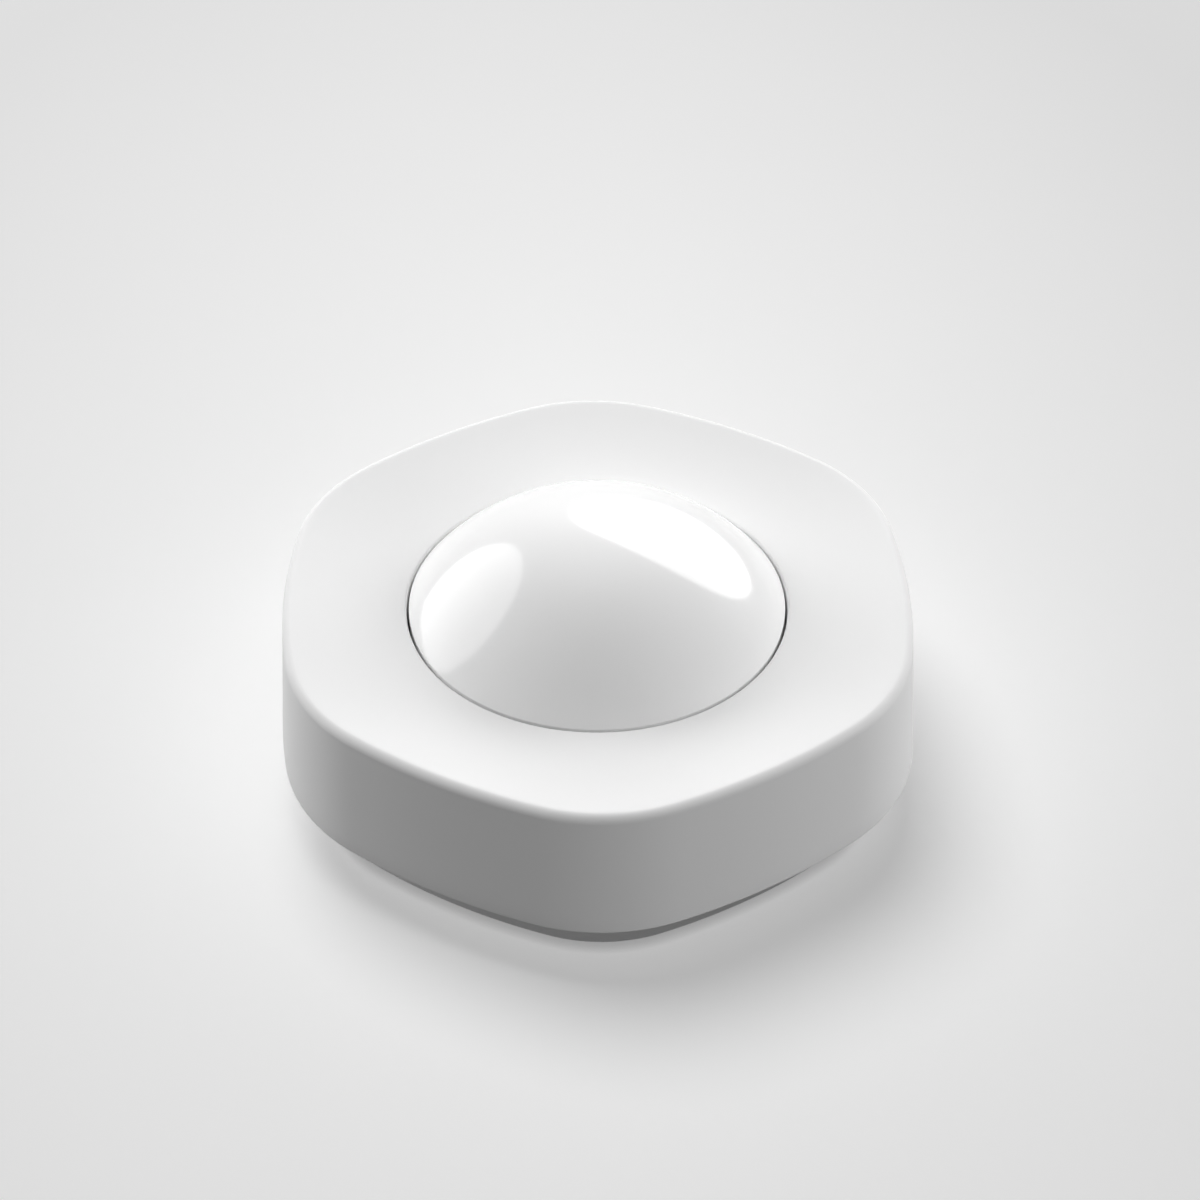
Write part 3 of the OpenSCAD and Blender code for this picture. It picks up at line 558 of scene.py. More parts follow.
def worn_edge():
    """A broken mask along the edges that a piece marks in its attribute named edge."""
    web, given, result = new_effect("worn edge", {"Scale": 900.0, "Amount": 0.5}, ("Mask",))
    edge = web.add("ShaderNodeAttribute", attribute_name="edge").outputs["Fac"]
    patches = web.noise(web.place(), given["Scale"], 4, 0.65)
    broken = web.math("ADD", edge, web.scaled(web.math("SUBTRACT", patches, 0.5), 1.2))
    web.feed(result["Mask"], web.scaled(web.remap(broken, 0.45, 1.0), given["Amount"]))


def hair_scratches():
    """Sparse hair-fine scratches in two directions."""
    web, given, result = new_effect("hair scratches", {"Scale": 60.0, "Amount": 0.5}, ("Mask",))
    place = web.place()
    lines = 0.0
    for turn in (0.5, 2.2):
        spun = web.add("ShaderNodeVectorRotate", {"Vector": place, "Angle": turn}, rotation_type="Z_AXIS")
        drawn = web.vector("MULTIPLY", spun.outputs[0], (1.0, 14.0, 1.0))
        wave = web.noise(drawn, given["Scale"], 2, 0.5, 0.3)
        near = web.math("ABSOLUTE", web.math("SUBTRACT", wave, 0.5))
        lines = web.math("ADD", lines, web.remap(near, 0.0, 0.004, 1.0, 0.0))
    sparse = web.remap(web.noise(place, web.scaled(given["Scale"], 1.7), 2), 0.5, 0.68)
    web.feed(result["Mask"], web.scaled(web.math("MULTIPLY", lines, sparse, clamp=True), given["Amount"]))


def settled_dust():
    """Specks and a thin film of dust on faces that look up."""
    web, given, result = new_effect("settled dust", {"Scale": 2500.0, "Amount": 0.3}, ("Mask",))
    normal = web.add("ShaderNodeNewGeometry").outputs["Normal"]
    up = web.add("ShaderNodeSeparateXYZ", {0: normal}).outputs["Z"]
    place = web.place()
    specks = web.remap(web.noise(place, given["Scale"], 3, 0.7), 0.66, 0.74)
    film = web.remap(web.noise(place, web.scaled(given["Scale"], 0.02), 3), 0.4, 0.75, 0.0, 0.5)
    facing = web.remap(up, 0.3, 0.95)
    settled = web.scaled(web.math("ADD", specks, film), facing)
    web.feed(result["Mask"], web.scaled(settled, given["Amount"]))


def drawn_lines():
    """Fine lines along the local Z axis, as on drawn, rolled or brushed metal."""
    web, given, result = new_effect("drawn lines", {"Scale": 6000.0, "Stretch": 0.03}, ("Height", "Tone"))
    stretch = web.add("ShaderNodeCombineXYZ", {0: 1.0, 1: 1.0, 2: given["Stretch"]}).outputs[0]
    drawn = web.vector("MULTIPLY", web.place(), stretch)
    web.feed(result["Height"], web.noise(drawn, given["Scale"], 3, 0.6))
    web.feed(result["Tone"], web.noise(drawn, web.scaled(given["Scale"], 0.2), 2, 0.5))


def turned_rings():
    """Fine rings round the local Z axis, as a lathe tool leaves."""
    web, given, result = new_effect("turned rings", {"Rings": 12000.0, "Breakup": 0.3}, ("Height", "Tone"))
    place = web.place()
    radius = web.vector("LENGTH", web.vector("MULTIPLY", place, (1.0, 1.0, 0.0)))
    shaken = web.math("ADD", web.scaled(radius, given["Rings"]),
                      web.scaled(web.noise(place, 1500.0, 2), given["Breakup"]))
    web.feed(result["Height"], web.remap(web.math("SINE", shaken), -1.0, 1.0))
    web.feed(result["Tone"], web.noise(web.add("ShaderNodeCombineXYZ", {0: shaken}).outputs[0], 0.4, 2))


def grey(value):
    """A grey, with an alpha of one."""
    return (value, value, value, 1.0)


def seen_directly(web):
    """One for rays that show a surface itself: from the camera, in a reflection or through glass."""
    path = web.add("ShaderNodeLightPath").outputs
    mirrored = web.math("MAXIMUM", path["Is Camera Ray"], path["Is Glossy Ray"])
    return web.math("MAXIMUM", mirrored, path["Is Transmission Ray"])


def new_material(name):
    """A material with its web and its Principled shader."""
    material = bpy.data.materials.new(name)
    material.use_nodes = True
    web = Web(material.node_tree)
    return material, web, material.node_tree.nodes["Principled BSDF"].inputs


def tinted(colour, factor):
    """A colour made lighter or darker, with an alpha of one."""
    return (*[min(1.0, c * factor) for c in colour], 1.0)


def moulded_plastic(web, shader, colour, roughness, grain=4000.0, depth=0.03, tone=0.03, wear=0.4,
                    dust=0.15, scratches=0.3):
    """Textured or satin plastic: mould grain, soft tone changes, rubbed edges, hair scratches, some dust, and
    painted shade by the seam where a piece marks one.
    """
    grained = web.group("moulded grain", {"Scale": grain})
    edge = web.mask("worn edge", 1300.0, wear)
    lines = web.mask("hair scratches", 60.0, scratches)
    dusty = web.mask("settled dust", 2600.0, dust)
    painted_seam_shade = web.add("ShaderNodeAttribute", attribute_name="seam").outputs["Fac"]
    spread = web.remap(grained["Tone"], 0.35, 0.65)
    body = web.mix(spread, tinted(colour, 1 - tone), tinted(colour, 1 + tone))
    body = web.mix(edge, body, tinted(colour, 1.06))
    # Painted shade: darkens the colour towards three tenths of itself where the seam attribute is set.
    body = web.mix(painted_seam_shade, body, tinted(colour, 0.3))
    web.feed(shader["Base Color"], web.mix(dusty, body, DUST))
    rough = web.remap(grained["Height"], 0.3, 0.7, roughness - 0.05, roughness + 0.05)
    rough = web.mix_value(edge, rough, roughness * 0.7)
    rough = web.mix_value(lines, rough, roughness * 0.6)
    web.feed(shader["Roughness"], web.mix_value(dusty, rough, 0.85))
    web.bump(shader, web.math("SUBTRACT", grained["Height"], web.scaled(lines, 0.5)), 0.5, depth)


def polished_plastic(web, shader, colour):
    """High-gloss plastic under a hard clear coat, with the faintest waviness, hair scratches and dust.

    The gloss and half of the paleness are there for rays that show them, so that little light is thrown on
    the cover round the seam."""
    grained = web.group("moulded grain", {"Scale": 900.0})
    lines = web.mask("hair scratches", 45.0, 0.5)
    dusty = web.mask("settled dust", 3000.0, 0.03)
    spread = web.remap(grained["Tone"], 0.3, 0.7)
    body = web.mix(spread, tinted(colour, 0.99), tinted(colour, 1.01))
    body = web.mix(dusty, body, DUST)
    seen = seen_directly(web)
    web.feed(shader["Base Color"], web.mix(seen, tinted(colour, 0.45), body))
    rough = web.mix_value(lines, 0.015, 0.3)
    web.feed(shader["Roughness"], web.mix_value(dusty, rough, 0.6))
    wavy = web.noise(web.place(), 220.0, 2, 0.5)
    web.bump(shader, web.math("SUBTRACT", wavy, web.scaled(lines, 0.02)), 0.06, 0.05)
    web.feed(shader["Coat Weight"], seen)
    web.feed(shader["Specular IOR Level"], web.scaled(seen, 0.5))
    shader["Coat Roughness"].default_value = 0.005


def soft_rubber(web, shader, colour, roughness=0.75):
    """Moulded rubber: matte, with a pale bloom, rubbed edges and fine pores."""
    grained = web.group("moulded grain", {"Scale": 3000.0})
    edge = web.mask("worn edge", 1100.0, 0.5)
    dusty = web.mask("settled dust", 2000.0, 0.3)
    bloom = web.remap(web.noise(web.place(), 260.0, 4, 0.6), 0.45, 0.75, 0.0, 0.5)
    body = web.mix(bloom, tinted(colour, 0.9), tinted(colour, 1.35))
    body = web.mix(edge, body, tinted(colour, 1.6))
    web.feed(shader["Base Color"], web.mix(dusty, body, DULL_DUST))
    rough = web.remap(grained["Height"], 0.3, 0.7, roughness - 0.08, roughness + 0.08)
    web.feed(shader["Roughness"], rough)
    web.bump(shader, grained["Height"], 0.5, 0.04)


def worked_metal(web, shader, colour, roughness, effect, inputs, depth=0.01, tarnish=0.25):
    """Metal with its working marks, a thin uneven tarnish and hair scratches."""
    worked = web.group(effect, inputs)
    lines = web.mask("hair scratches", 150.0, 0.6)
    spread = web.remap(web.noise(web.place(), 500.0, 4, 0.6), 0.45, 0.75, 0.0, tarnish)
    body = web.mix(worked["Tone"], tinted(colour, 0.92), tinted(colour, 1.06))
    web.feed(shader["Base Color"], web.mix(spread, body, tinted(colour, 0.6)))
    shader["Metallic"].default_value = 1.0
    rough = web.remap(worked["Height"], 0.2, 0.8, roughness - 0.06, roughness + 0.08)
    rough = web.mix_value(spread, rough, min(1.0, roughness + 0.3))
    web.feed(shader["Roughness"], web.mix_value(lines, rough, roughness + 0.15))
    web.bump(shader, web.math("SUBTRACT", worked["Height"], lines), 0.4, depth)


def board_laminate(web, shader, colour):
    """Green solder mask over copper runs, with tinned pads that show through it."""
    place = web.place()
    bricks = {"Vector": place, "Scale": 1.0, "Mortar Size": 0.0002, "Mortar Smooth": 0.1,
              "Brick Width": 0.0042, "Row Height": 0.0011}
    runs = web.add("ShaderNodeTexBrick", bricks, offset=0.37).outputs["Fac"]
    dots = web.add("ShaderNodeTexVoronoi", {"Vector": place, "Scale": 420.0, "Randomness": 0.75},
                   feature="F1", distance="CHEBYCHEV").outputs["Distance"]
    pads = web.remap(dots, 0.1, 0.13, 1.0, 0.0)
    grained = web.group("moulded grain", {"Scale": 2500.0})
    mask = web.mix(runs, tinted(colour, 1.0), tinted(colour, 1.9))
    mask = web.mix(web.remap(grained["Tone"], 0.3, 0.7, 0.0, 0.4), mask, tinted(colour, 0.6))
    tin = (0.72, 0.71, 0.68, 1.0)
    web.feed(shader["Base Color"], web.mix(pads, mask, tin))
    web.feed(shader["Metallic"], pads)
    web.feed(shader["Roughness"], web.mix_value(pads, 0.32, 0.25))
    web.bump(shader, web.math("ADD", runs, web.scaled(pads, 0.7)), 0.6, 0.03)
    shader["Coat Weight"].default_value = 0.3


def lamp_gel(web, shader, colour):
    """Clear gel over a pale lamp case, with a yellow phosphor cast at the middle."""
    grained = web.group("moulded grain", {"Scale": 5000.0})
    warm = web.remap(web.noise(web.place(), 700.0, 2), 0.4, 0.65)
    phosphor = (0.85, 0.72, 0.3, 1.0)
    web.feed(shader["Base Color"], web.mix(warm, tinted(colour, 1.0), phosphor))
    web.feed(shader["Roughness"], web.remap(grained["Height"], 0.3, 0.7, 0.08, 0.2))
    web.bump(shader, grained["Height"], 0.2, 0.02)
    shader["Subsurface Weight"].default_value = 0.3
    shader["Subsurface Scale"].default_value = 0.5 * MM


FINISH_LOOKS = {
    "cover_white": (moulded_plastic, dict(roughness=0.5, grain=4200.0, depth=0.06, tone=0.05, wear=0.35,
                                          dust=0.05, scratches=0.2)),
    "dome_white": (polished_plastic, {}),
    "base_white": (moulded_plastic, dict(roughness=0.55, grain=3600.0, depth=0.035, tone=0.015, dust=0.1)),
    "frame_white": (moulded_plastic, dict(roughness=0.35, grain=2500.0, depth=0.015, tone=0.02, wear=0.2,
                                          dust=0.1, scratches=0.2)),
    "seal_grey": (soft_rubber, dict(roughness=0.6)),
    "seal_black": (soft_rubber, dict(roughness=0.55)),
    "pad_rubber": (soft_rubber, dict(roughness=0.8)),
    "spring_steel": (worked_metal, dict(roughness=0.28, effect="drawn lines", inputs={"Scale": 9000.0})),
    "screw_steel": (worked_metal, dict(roughness=0.3, effect="turned rings", inputs={"Rings": 14000.0})),
    "board_green": (board_laminate, {}),
    "chip_black": (moulded_plastic, dict(roughness=0.6, grain=6000.0, depth=0.02, tone=0.15, wear=0.5,
                                         dust=0.2)),
    "lamp_clear": (lamp_gel, {}),
    "plunger_ivory": (moulded_plastic, dict(roughness=0.4, grain=3000.0, depth=0.01, wear=0.3, dust=0.1,
                                            scratches=0.2)),
    "shield_metal": (worked_metal, dict(roughness=0.33, effect="drawn lines",
                                        inputs={"Scale": 2500.0, "Stretch": 1.0})),
    "capacitor_can": (worked_metal, dict(roughness=0.25, effect="drawn lines", inputs={"Scale": 5000.0})),
    "contact_brass": (worked_metal, dict(roughness=0.3, effect="drawn lines",
                                         inputs={"Scale": 4000.0, "Stretch": 0.5})),
    "contact_steel": (worked_metal, dict(roughness=0.28, effect="drawn lines",
                                         inputs={"Scale": 4000.0, "Stretch": 0.5})),
    "holder_black": (moulded_plastic, dict(roughness=0.5, grain=3500.0, depth=0.02, tone=0.1)),
    "cell_steel": (worked_metal, dict(roughness=0.24, effect="turned rings",
                                      inputs={"Rings": 9000.0, "Breakup": 1.5})),
    "probe_gold": (worked_metal, dict(roughness=0.2, effect="turned rings", inputs={"Rings": 16000.0},
                                      depth=0.006, tarnish=0.1)),
}


def finish(slot):
    """The material with a slot's name: the frame's plain one if it holds one, or else one made here."""
    material = bpy.data.materials.get(slot)
    if not material:
        material, web, shader = new_material(slot)
        maker, looks = FINISH_LOOKS[slot]
        maker(web, shader, getattr(bpy.context.scene.sensor_finishes, slot), **looks)
    return material


def dressed(piece, slot, body, *nodes):
    """Gives a new piece its finish, its body and the nodes that it stands for."""
    piece.data.materials.clear()
    piece.data.materials.append(finish(slot))
    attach(piece, body)
    if nodes:
        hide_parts(*nodes)
    return piece


def dress_node(name, bevel):
    """Gives a node of the frame its finish, and, if its bevel is above zero, breaks its sharp edges by that
    many millimetres.
    """
    node = frame["nodes"][name]
    node.data.materials.clear()
    node.data.materials.append(finish(RECORD_SLOTS[name]))
    if bevel:
        weld = node.modifiers.new("weld", "WELD")
        weld.merge_threshold = SAME_SPOT
        edge = node.modifiers.new("edge", "BEVEL")
        edge.width = bevel * MM
        edge.segments = 2
        edge.limit_method = "ANGLE"
        edge.angle_limit = math.radians(40)
        edge.harden_normals = True


def mark(piece, name, amount):
    """Writes an attribute: amount(co) is one on an edge or in a seam and falls to zero away from it."""
    mesh = piece.data
    layer = mesh.attributes.new(name, "FLOAT", "POINT")
    layer.data.foreach_set("value", [amount(v.co) for v in mesh.vertices])


class SensorOperator:
    """What the operators share: their steps can be undone."""
    bl_options = {"REGISTER", "UNDO"}


class SENSOR_OT_make_effects(SensorOperator, bpy.types.Operator):
    """Builds the shader effects that several finishes share"""
    bl_idname = "sensor.make_effects"
    bl_label = "Shared effects"

    def execute(self, context):
        for effect in (moulded_grain, worn_edge, hair_scratches, settled_dust, drawn_lines, turned_rings):
            effect()
        return {"FINISHED"}


class SENSOR_OT_make_cover(SensorOperator, bpy.types.Operator):
    """Builds the top cover: wall, rim, dished top, the button's hole and collar, pillars and ribs"""
    bl_idname = "sensor.make_cover"
    bl_label = "Top cover"

    def execute(self, context):
        c = context.scene.sensor_cover
        ring_r = context.scene.sensor_base.corner_ring_r
        seam_z = c.rim_z - c.dish_depth
        mouth_r = c.hole_r + c.hole_round
        cover = loft("cover_shell", self.skin(c, seam_z, mouth_r), closed=True, sharp=40)
        carve(cover, self.stiffeners(c, ring_r, seam_z), "UNION")
        bore = (c.bore_r, c.pillar_z - MM, c.bore_z, 32)
        carve(cover, [placed(post(*bore), angle, ring_r) for angle in SCREW_ANGLES], "DIFFERENCE")
        shade(cover, 40)

        def worn(co):
            """One at the rim, the lower edge and, more faintly, the mouth of the hole."""
            reach = co.xy.length
            rim = foot = hole = 0
            if reach > c.side_reach - 3 * MM:
                rim = max(0, 1 - abs(co.z - c.rim_z + 0.3 * MM) / (0.9 * MM))
            if co.z > seam_z - MM:
                hole = max(0, 1 - abs(reach - mouth_r) / (0.3 * MM)) * 0.6
            foot = max(0, 1 - (co.z - c.low_z) / (0.7 * MM))
            return max(rim, foot, hole)

        def painted_seam_shade(co):
            """Painted shade on the dish by the seam: strongest at the hole and gone 2.8 mm out from it."""
            near = max(0, 1 - (co.xy.length - c.hole_r) / (2.8 * MM))
            return 0.45 * near * near if co.z > seam_z - MM else 0

        mark(cover, "edge", worn)
        # The seam attribute carries painted shade round the button's hole.
        mark(cover, "seam", painted_seam_shade)
        dressed(cover, "cover_white", "housing", "top_cover")
        return {"FINISHED"}

    def skin(self, c, seam_z, mouth_r):
        """Rings up the wall, over the rim, down the dish and the collar, and back along the inside."""
        rim_low = c.rim_z - c.rim_round
        top_d = c.rim_round - c.wall_flare * c.rim_round / (c.rim_z - c.low_z)
        in_d = c.wall_t - c.wall_flare
        collar_r = c.hole_r + c.collar_wall
        lower = quarter(c.edge_round - c.wall_flare, c.low_z + c.edge_round, c.edge_round, -90, 0, 5)
        upper = quarter(top_d, rim_low, c.rim_round, 0, 90, 14)
        foot, head = Vector(lower[-1]), Vector(upper[0])
        wall = [foot.lerp(head, step / 8) for step in range(1, 8)]
        rings = [ring(c, d, z) for d, z in (*lower, *wall, *upper)]
        rings += [self.dished(c, seam_z, top_d, step / 30, mouth_r) for step in range(1, 31)]
        collar = [*mouth(c.hole_r, rings[-1][0].z, c.hole_round, 5, -1)[1:],
                  (c.hole_r, c.collar_z + c.collar_break), (c.hole_r + c.collar_break, c.collar_z),
                  (collar_r - c.collar_break, c.collar_z), (collar_r, c.collar_z + c.collar_break)]
        rings += [ring(c, 0, z, 1, radius) for radius, z in collar]
        under_z = seam_z - c.top_t
        rings += [self.dished(c, under_z, c.wall_t + MM, step / 8, collar_r) for step in range(8, 0, -1)]
        inside = [(c.wall_t, rim_low - c.top_t), (in_d + c.shoulder_w, c.shoulder_z), (in_d, c.shoulder_z),
                  (in_d, c.low_z + c.inner_round), (in_d - c.inner_round, c.low_z)]
        return rings + [ring(c, d, z) for d, z in inside]

    def dished(self, c, seam_z, offset, share, radius):
        """A ring of the dished top, or of its underside, by its share of the way to a circle."""
        points = []
        for p in outline(c, offset):
            here = (1 - share) * p.length + share * radius
            rest = max(here - c.hole_r + MM, 0) / (p.length - c.hole_r + MM)
            points.append(at(p.normalized() * here, seam_z + c.dish_depth * rest ** c.dish_power))
        return points

    def stiffeners(self, c, ring_r, seam_z):
        """The screw pillars with their webs, and the ribs between the collar and the wall."""
        tools = []
        head_z = seam_z - 0.5 * MM
        for angle in SCREW_ANGLES:
            pillar = post(c.pillar_r, c.pillar_z, head_z)
            web = box("web", (ring_r, -c.web_half, c.pillar_z + 2 * MM),
                      (ring_r + 7.5 * MM, c.web_half, head_z))
            tools += [placed(pillar, angle, ring_r), placed(web, angle)]
        for angle in SIDES:
            rib = box("rib", (c.hole_r + c.collar_wall - MM, -RIB_HALF, c.collar_z + 0.4 * MM),
                      (c.side_reach - 1.2 * MM, RIB_HALF, seam_z - 0.6 * MM))
            tools.append(placed(rib, angle))
        return tools


class SENSOR_OT_make_dome(SensorOperator, bpy.types.Operator):
    """Builds the domed button: cap, skirt, flange, cored stem and its ribs"""
    bl_idname = "sensor.make_dome"
    bl_label = "Dome button"

    def execute(self, context):
        b = context.scene.sensor_button
        top_z, low = high_z("dome_button"), low_z("dome_button")
        flange_r, flange_top = reach_x("dome_button"), low + b.flange_h
        seam_z = top_z - b.dome_rise
        ball_r = (b.button_r ** 2 + b.dome_rise ** 2) / (2 * b.dome_rise)
        ball_z = top_z - ball_r
        in_ball = ball_r - b.dome_t
        skirt_r = b.button_r - b.dome_t
        fine = 0.12 * MM
        cap = arc(ball_z, ball_r, 0, math.asin((b.button_r - 0.6 * b.edge_round) / ball_r), 72)
        edge = softened([cap[-2], (b.button_r, seam_z, b.edge_round), (b.button_r, flange_top)], 6)[1:-1]
        skirt = softened([edge[-1], (b.button_r, flange_top), (flange_r, flange_top, fine),
                          (flange_r, low, fine), (skirt_r, low, 0.1 * MM), (skirt_r, seam_z)], 3)[1:-1]
        inside = arc(ball_z, in_ball, math.asin(skirt_r / in_ball), math.asin(b.stem_r / in_ball), 24)
        core_top = top_z - b.dome_t - 1.3 * MM
        stem_break = 0.2 * MM
        stem = [(b.stem_r, b.stem_z + stem_break), (b.stem_r - stem_break, b.stem_z), (b.core_r, b.stem_z),
                (b.core_r, core_top), (0, core_top)]
        dome = lathe("dome_lens", cap[:-1] + edge + skirt + inside + stem, closed=False, sharp=32)
        rib_start = (b.stem_r - 0.4 * MM, -RIB_HALF, top_z - b.dome_t - 4 * MM)
        rib_end = (2.8 * b.stem_r, RIB_HALF, top_z - 2.4 * MM)
        carve(dome, [placed(box("rib", rib_start, rib_end), angle) for angle in SIDES], "UNION")
        shade(dome, 32)
        dressed(dome, "dome_white", "button", "dome_button")
        return {"FINISHED"}


class SENSOR_OT_make_springs(SensorOperator, bpy.types.Operator):
    """Builds the three return springs"""
    bl_idname = "sensor.make_springs"
    bl_label = "Return springs"

    def execute(self, context):
        b = context.scene.sensor_button
        low = low_z("return_springs")
        tall = high_z("return_springs") - low
        ring_r = reach_x("return_springs") - b.spring_r
        for angle in PROBE_ANGLES:
            spring = placed(self.coil(f"return_spring_{angle}", b, low, tall), angle, ring_r)
            dressed(spring, "spring_steel", "housing", "return_springs")
            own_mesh(spring)
        return {"FINISHED"}

    def coil(self, name, b, low, tall):
        """A round wire wound into a compression spring, whose end turns lie flat."""
        steps, sides, flat_turns = 32, 12, 0.69
        wire = [unit(360 * i / sides) * b.wire_r for i in range(sides)]
        rings = []
        for j in range(round(b.spring_turns * steps) + 1):
            risen = (j / steps - flat_turns) / (b.spring_turns - 2 * flat_turns)
            z = low + b.wire_r + (tall - 2 * b.wire_r) * min(1, max(0, risen))
            way = unit(360 * j / steps)
            rings.append([at(way * (b.spring_r - b.wire_r + p.x), z + p.y) for p in wire])
        return outward(loft(name, rings))


class SENSOR_OT_make_base(SensorOperator, bpy.types.Operator):
    """Builds the base: tray, lip, door seat, battery well, pillars and every recess in its underside"""
    bl_idname = "sensor.make_base"
    bl_label = "Base"

    def execute(self, context):
        c, s = context.scene.sensor_cover, context.scene.sensor_base
        base = loft("base_tray", self.tray(c, s))
        in_floor, hole_low = 1.8 * MM, s.low_z + 0.9 * MM
        ledge_top = s.ledge_z + s.ledge_t
        lip_in, lip_top = s.inset + 0.8 * MM, s.lip_z + s.lip_t
        lip = (s.lip_offset, s.lip_z), (s.lip_offset, lip_top), (lip_in, lip_top), (lip_in, s.lip_z)
        well_in, well_out = s.well_r - 0.3 * MM, s.well_r + s.well_wall
        well = (well_in, s.ledge_z), (well_out, s.ledge_z), (well_out, s.well_z), (well_in, s.well_z)
        added = [post(s.ring_r, in_floor, ledge_top, LATHE_STEPS), lathe("well", well),
                 loft("lip", [ring(c, d, z) for d, z in lip], closed=True)]
        cuts = [self.recess(s, s.recess_r, s.ledge_z, LATHE_STEPS),
                post(s.ledge_r, s.low_z + 1.2 * MM, s.high_z + MM, LATHE_STEPS),
                post(s.well_r, ledge_top, s.high_z + 1.2 * MM, LATHE_STEPS)]
        notch = (s.well_r - 0.06 * MM, s.ledge_r - MM, s.low_z + 1.3 * MM, s.well_z)
        cuts += [sector("notch", *notch, angle - 62, 34) for angle in PROBE_ANGLES]

        def boss(angles, ring_r, outside, recess, hole):
            """At each angle a boss (radius, from, to), a recess (radius, up to) and a hole (like a boss)."""
            for angle in angles:
                added.append(placed(post(*outside), angle, ring_r))
                cuts.append(placed(self.recess(s, *recess, 64), angle, ring_r))
                cuts.append(placed(post(*hole, 32), angle, ring_r))

        boss(SCREW_ANGLES, s.corner_ring_r, outside=(c.pillar_r, in_floor, c.pillar_z),
             recess=(2.4 * MM, 2.9 * MM), hole=(1.4 * MM, hole_low, 9.5 * MM))
        boss(FOOT_ANGLES, s.corner_ring_r, outside=(2.4 * MM, 2.3 * MM, low_z("main_board")),
             recess=(3.4 * MM, 1.6 * MM), hole=(0.88 * MM, 5.1 * MM, 10 * MM))
        boss(PROBE_ANGLES, s.side_ring_r, outside=(3 * MM, in_floor, 5 * MM),
             recess=(2.8 * MM, 2.2 * MM), hole=(1.3 * MM, hole_low - 0.2 * MM, 6 * MM))
        carve(base, added, "UNION")
        carve(base, cuts, "DIFFERENCE")
        shade(base, 35)

        def worn(co):
            """One at the lower edge, and fainter over the flat underside."""
            below = max(0, 1 - (co.z - s.low_z) / (0.6 * MM))
            flat = co.xy.length < c.side_reach - s.inset - s.edge_round
            return 0.25 * below if flat else below

        mark(base, "edge", worn)
        dressed(base, "base_white", "housing", "base_cover")
        return {"FINISHED"}

    def tray(self, c, s):
        """Rings up the outside of the tray and down its inside to the floor."""
        foot_z = s.low_z + s.edge_round
        wall = quarter(s.inset + s.edge_round, foot_z, s.edge_round, -90, 0, 9)
        wall += [(s.inset, foot_z + (s.high_z - foot_z) * i / 6) for i in range(1, 7)]
        wall += [(s.inset + s.wall, s.high_z), (s.inset + s.wall, s.low_z + s.floor_t)]
        return [ring(c, d, z) for d, z in wall]

    def recess(self, s, radius, top_z, steps):
        """A cutter for a recess in the underside, whose mouth is rounded."""
        wall = [(radius + s.mouth, s.low_z - MM), *mouth(radius, s.low_z, s.mouth, 6), (radius, top_z)]
        return solid(wall, steps)


class SENSOR_OT_make_door(SensorOperator, bpy.types.Operator):
    """Builds the battery door: rim, coin slot, plug, seal groove and bayonet tabs"""
    bl_idname = "sensor.make_door"
    bl_label = "Battery door"

    def execute(self, context):
        d = context.scene.sensor_door
        low, high = low_z("battery_door"), high_z("battery_door")
        in_z = low + d.door_t
        groove_z, groove_out = in_z - d.groove_h, d.groove_r + d.groove_w
        line_in, line_out, line_z = d.door_r - 1.9 * MM, d.door_r - 1.5 * MM, low + 0.25 * MM
        fine, soft = 0.1 * MM, 0.2 * MM
        corners = [(0, low), (line_in, low), (line_in, line_z, fine), (line_out, line_z, fine),
                   (line_out, low, 0.08 * MM), (d.door_r, low, d.edge_round), (d.door_r, in_z, 0.15 * MM),
                   (groove_out, in_z), (groove_out, groove_z, fine), (d.groove_r, groove_z, fine),
                   (d.groove_r, in_z), (d.plug_r, in_z), (d.plug_r, high, soft),
                   (d.plug_in_r, high, soft), (d.plug_in_r, in_z, 0.3 * MM), (0, in_z)]
        door = lathe("battery_lid", softened(corners, 4), closed=False)
        tab = (d.tab_r, d.plug_r - 0.5 * MM, d.tab_z, d.tab_z + d.tab_t)
        carve(door, [sector("tab", *tab, angle - 15, 30) for angle in PROBE_ANGLES], "UNION")
        carve(door, [self.slot(d, low)], "DIFFERENCE")
        shade(door, 35)

        def worn(co):
            """One round the coin slot, and fainter at the rim."""
            near_slot = abs(co.y) < d.slot_w and abs(co.x) < d.slot_l / 2 + MM and co.z < low + 0.4 * MM
            rim = max(0, 1 - abs(co.xy.length - d.door_r) / (0.5 * MM))
            return max(rim * 0.7, 1.0 if near_slot else 0.0)

        mark(door, "edge", worn)
        dressed(door, "base_white", "door", "battery_door")
        return {"FINISHED"}

    def slot(self, d, low):
        """The cutter for the coin slot: a long slot with round ends, a rounded mouth and a rounded floor."""
        radius, lip, floor_z = d.slot_w / 2, 0.25 * MM, low + d.slot_h
        half = d.slot_l / 2 - radius
        ends = [(side, unit(-90 * side + 180 * i / 16)) for side in (1, -1) for i in range(17)]
        levels = [(radius + lip, low - MM), *mouth(radius, low, lip, 5), (radius, floor_z - lip),
                  (radius - lip, floor_z)]
        rings = [[Vector((side * half, 0, z)) + way * r for side, way in ends] for r, z in levels]
        return loft("slot", rings)


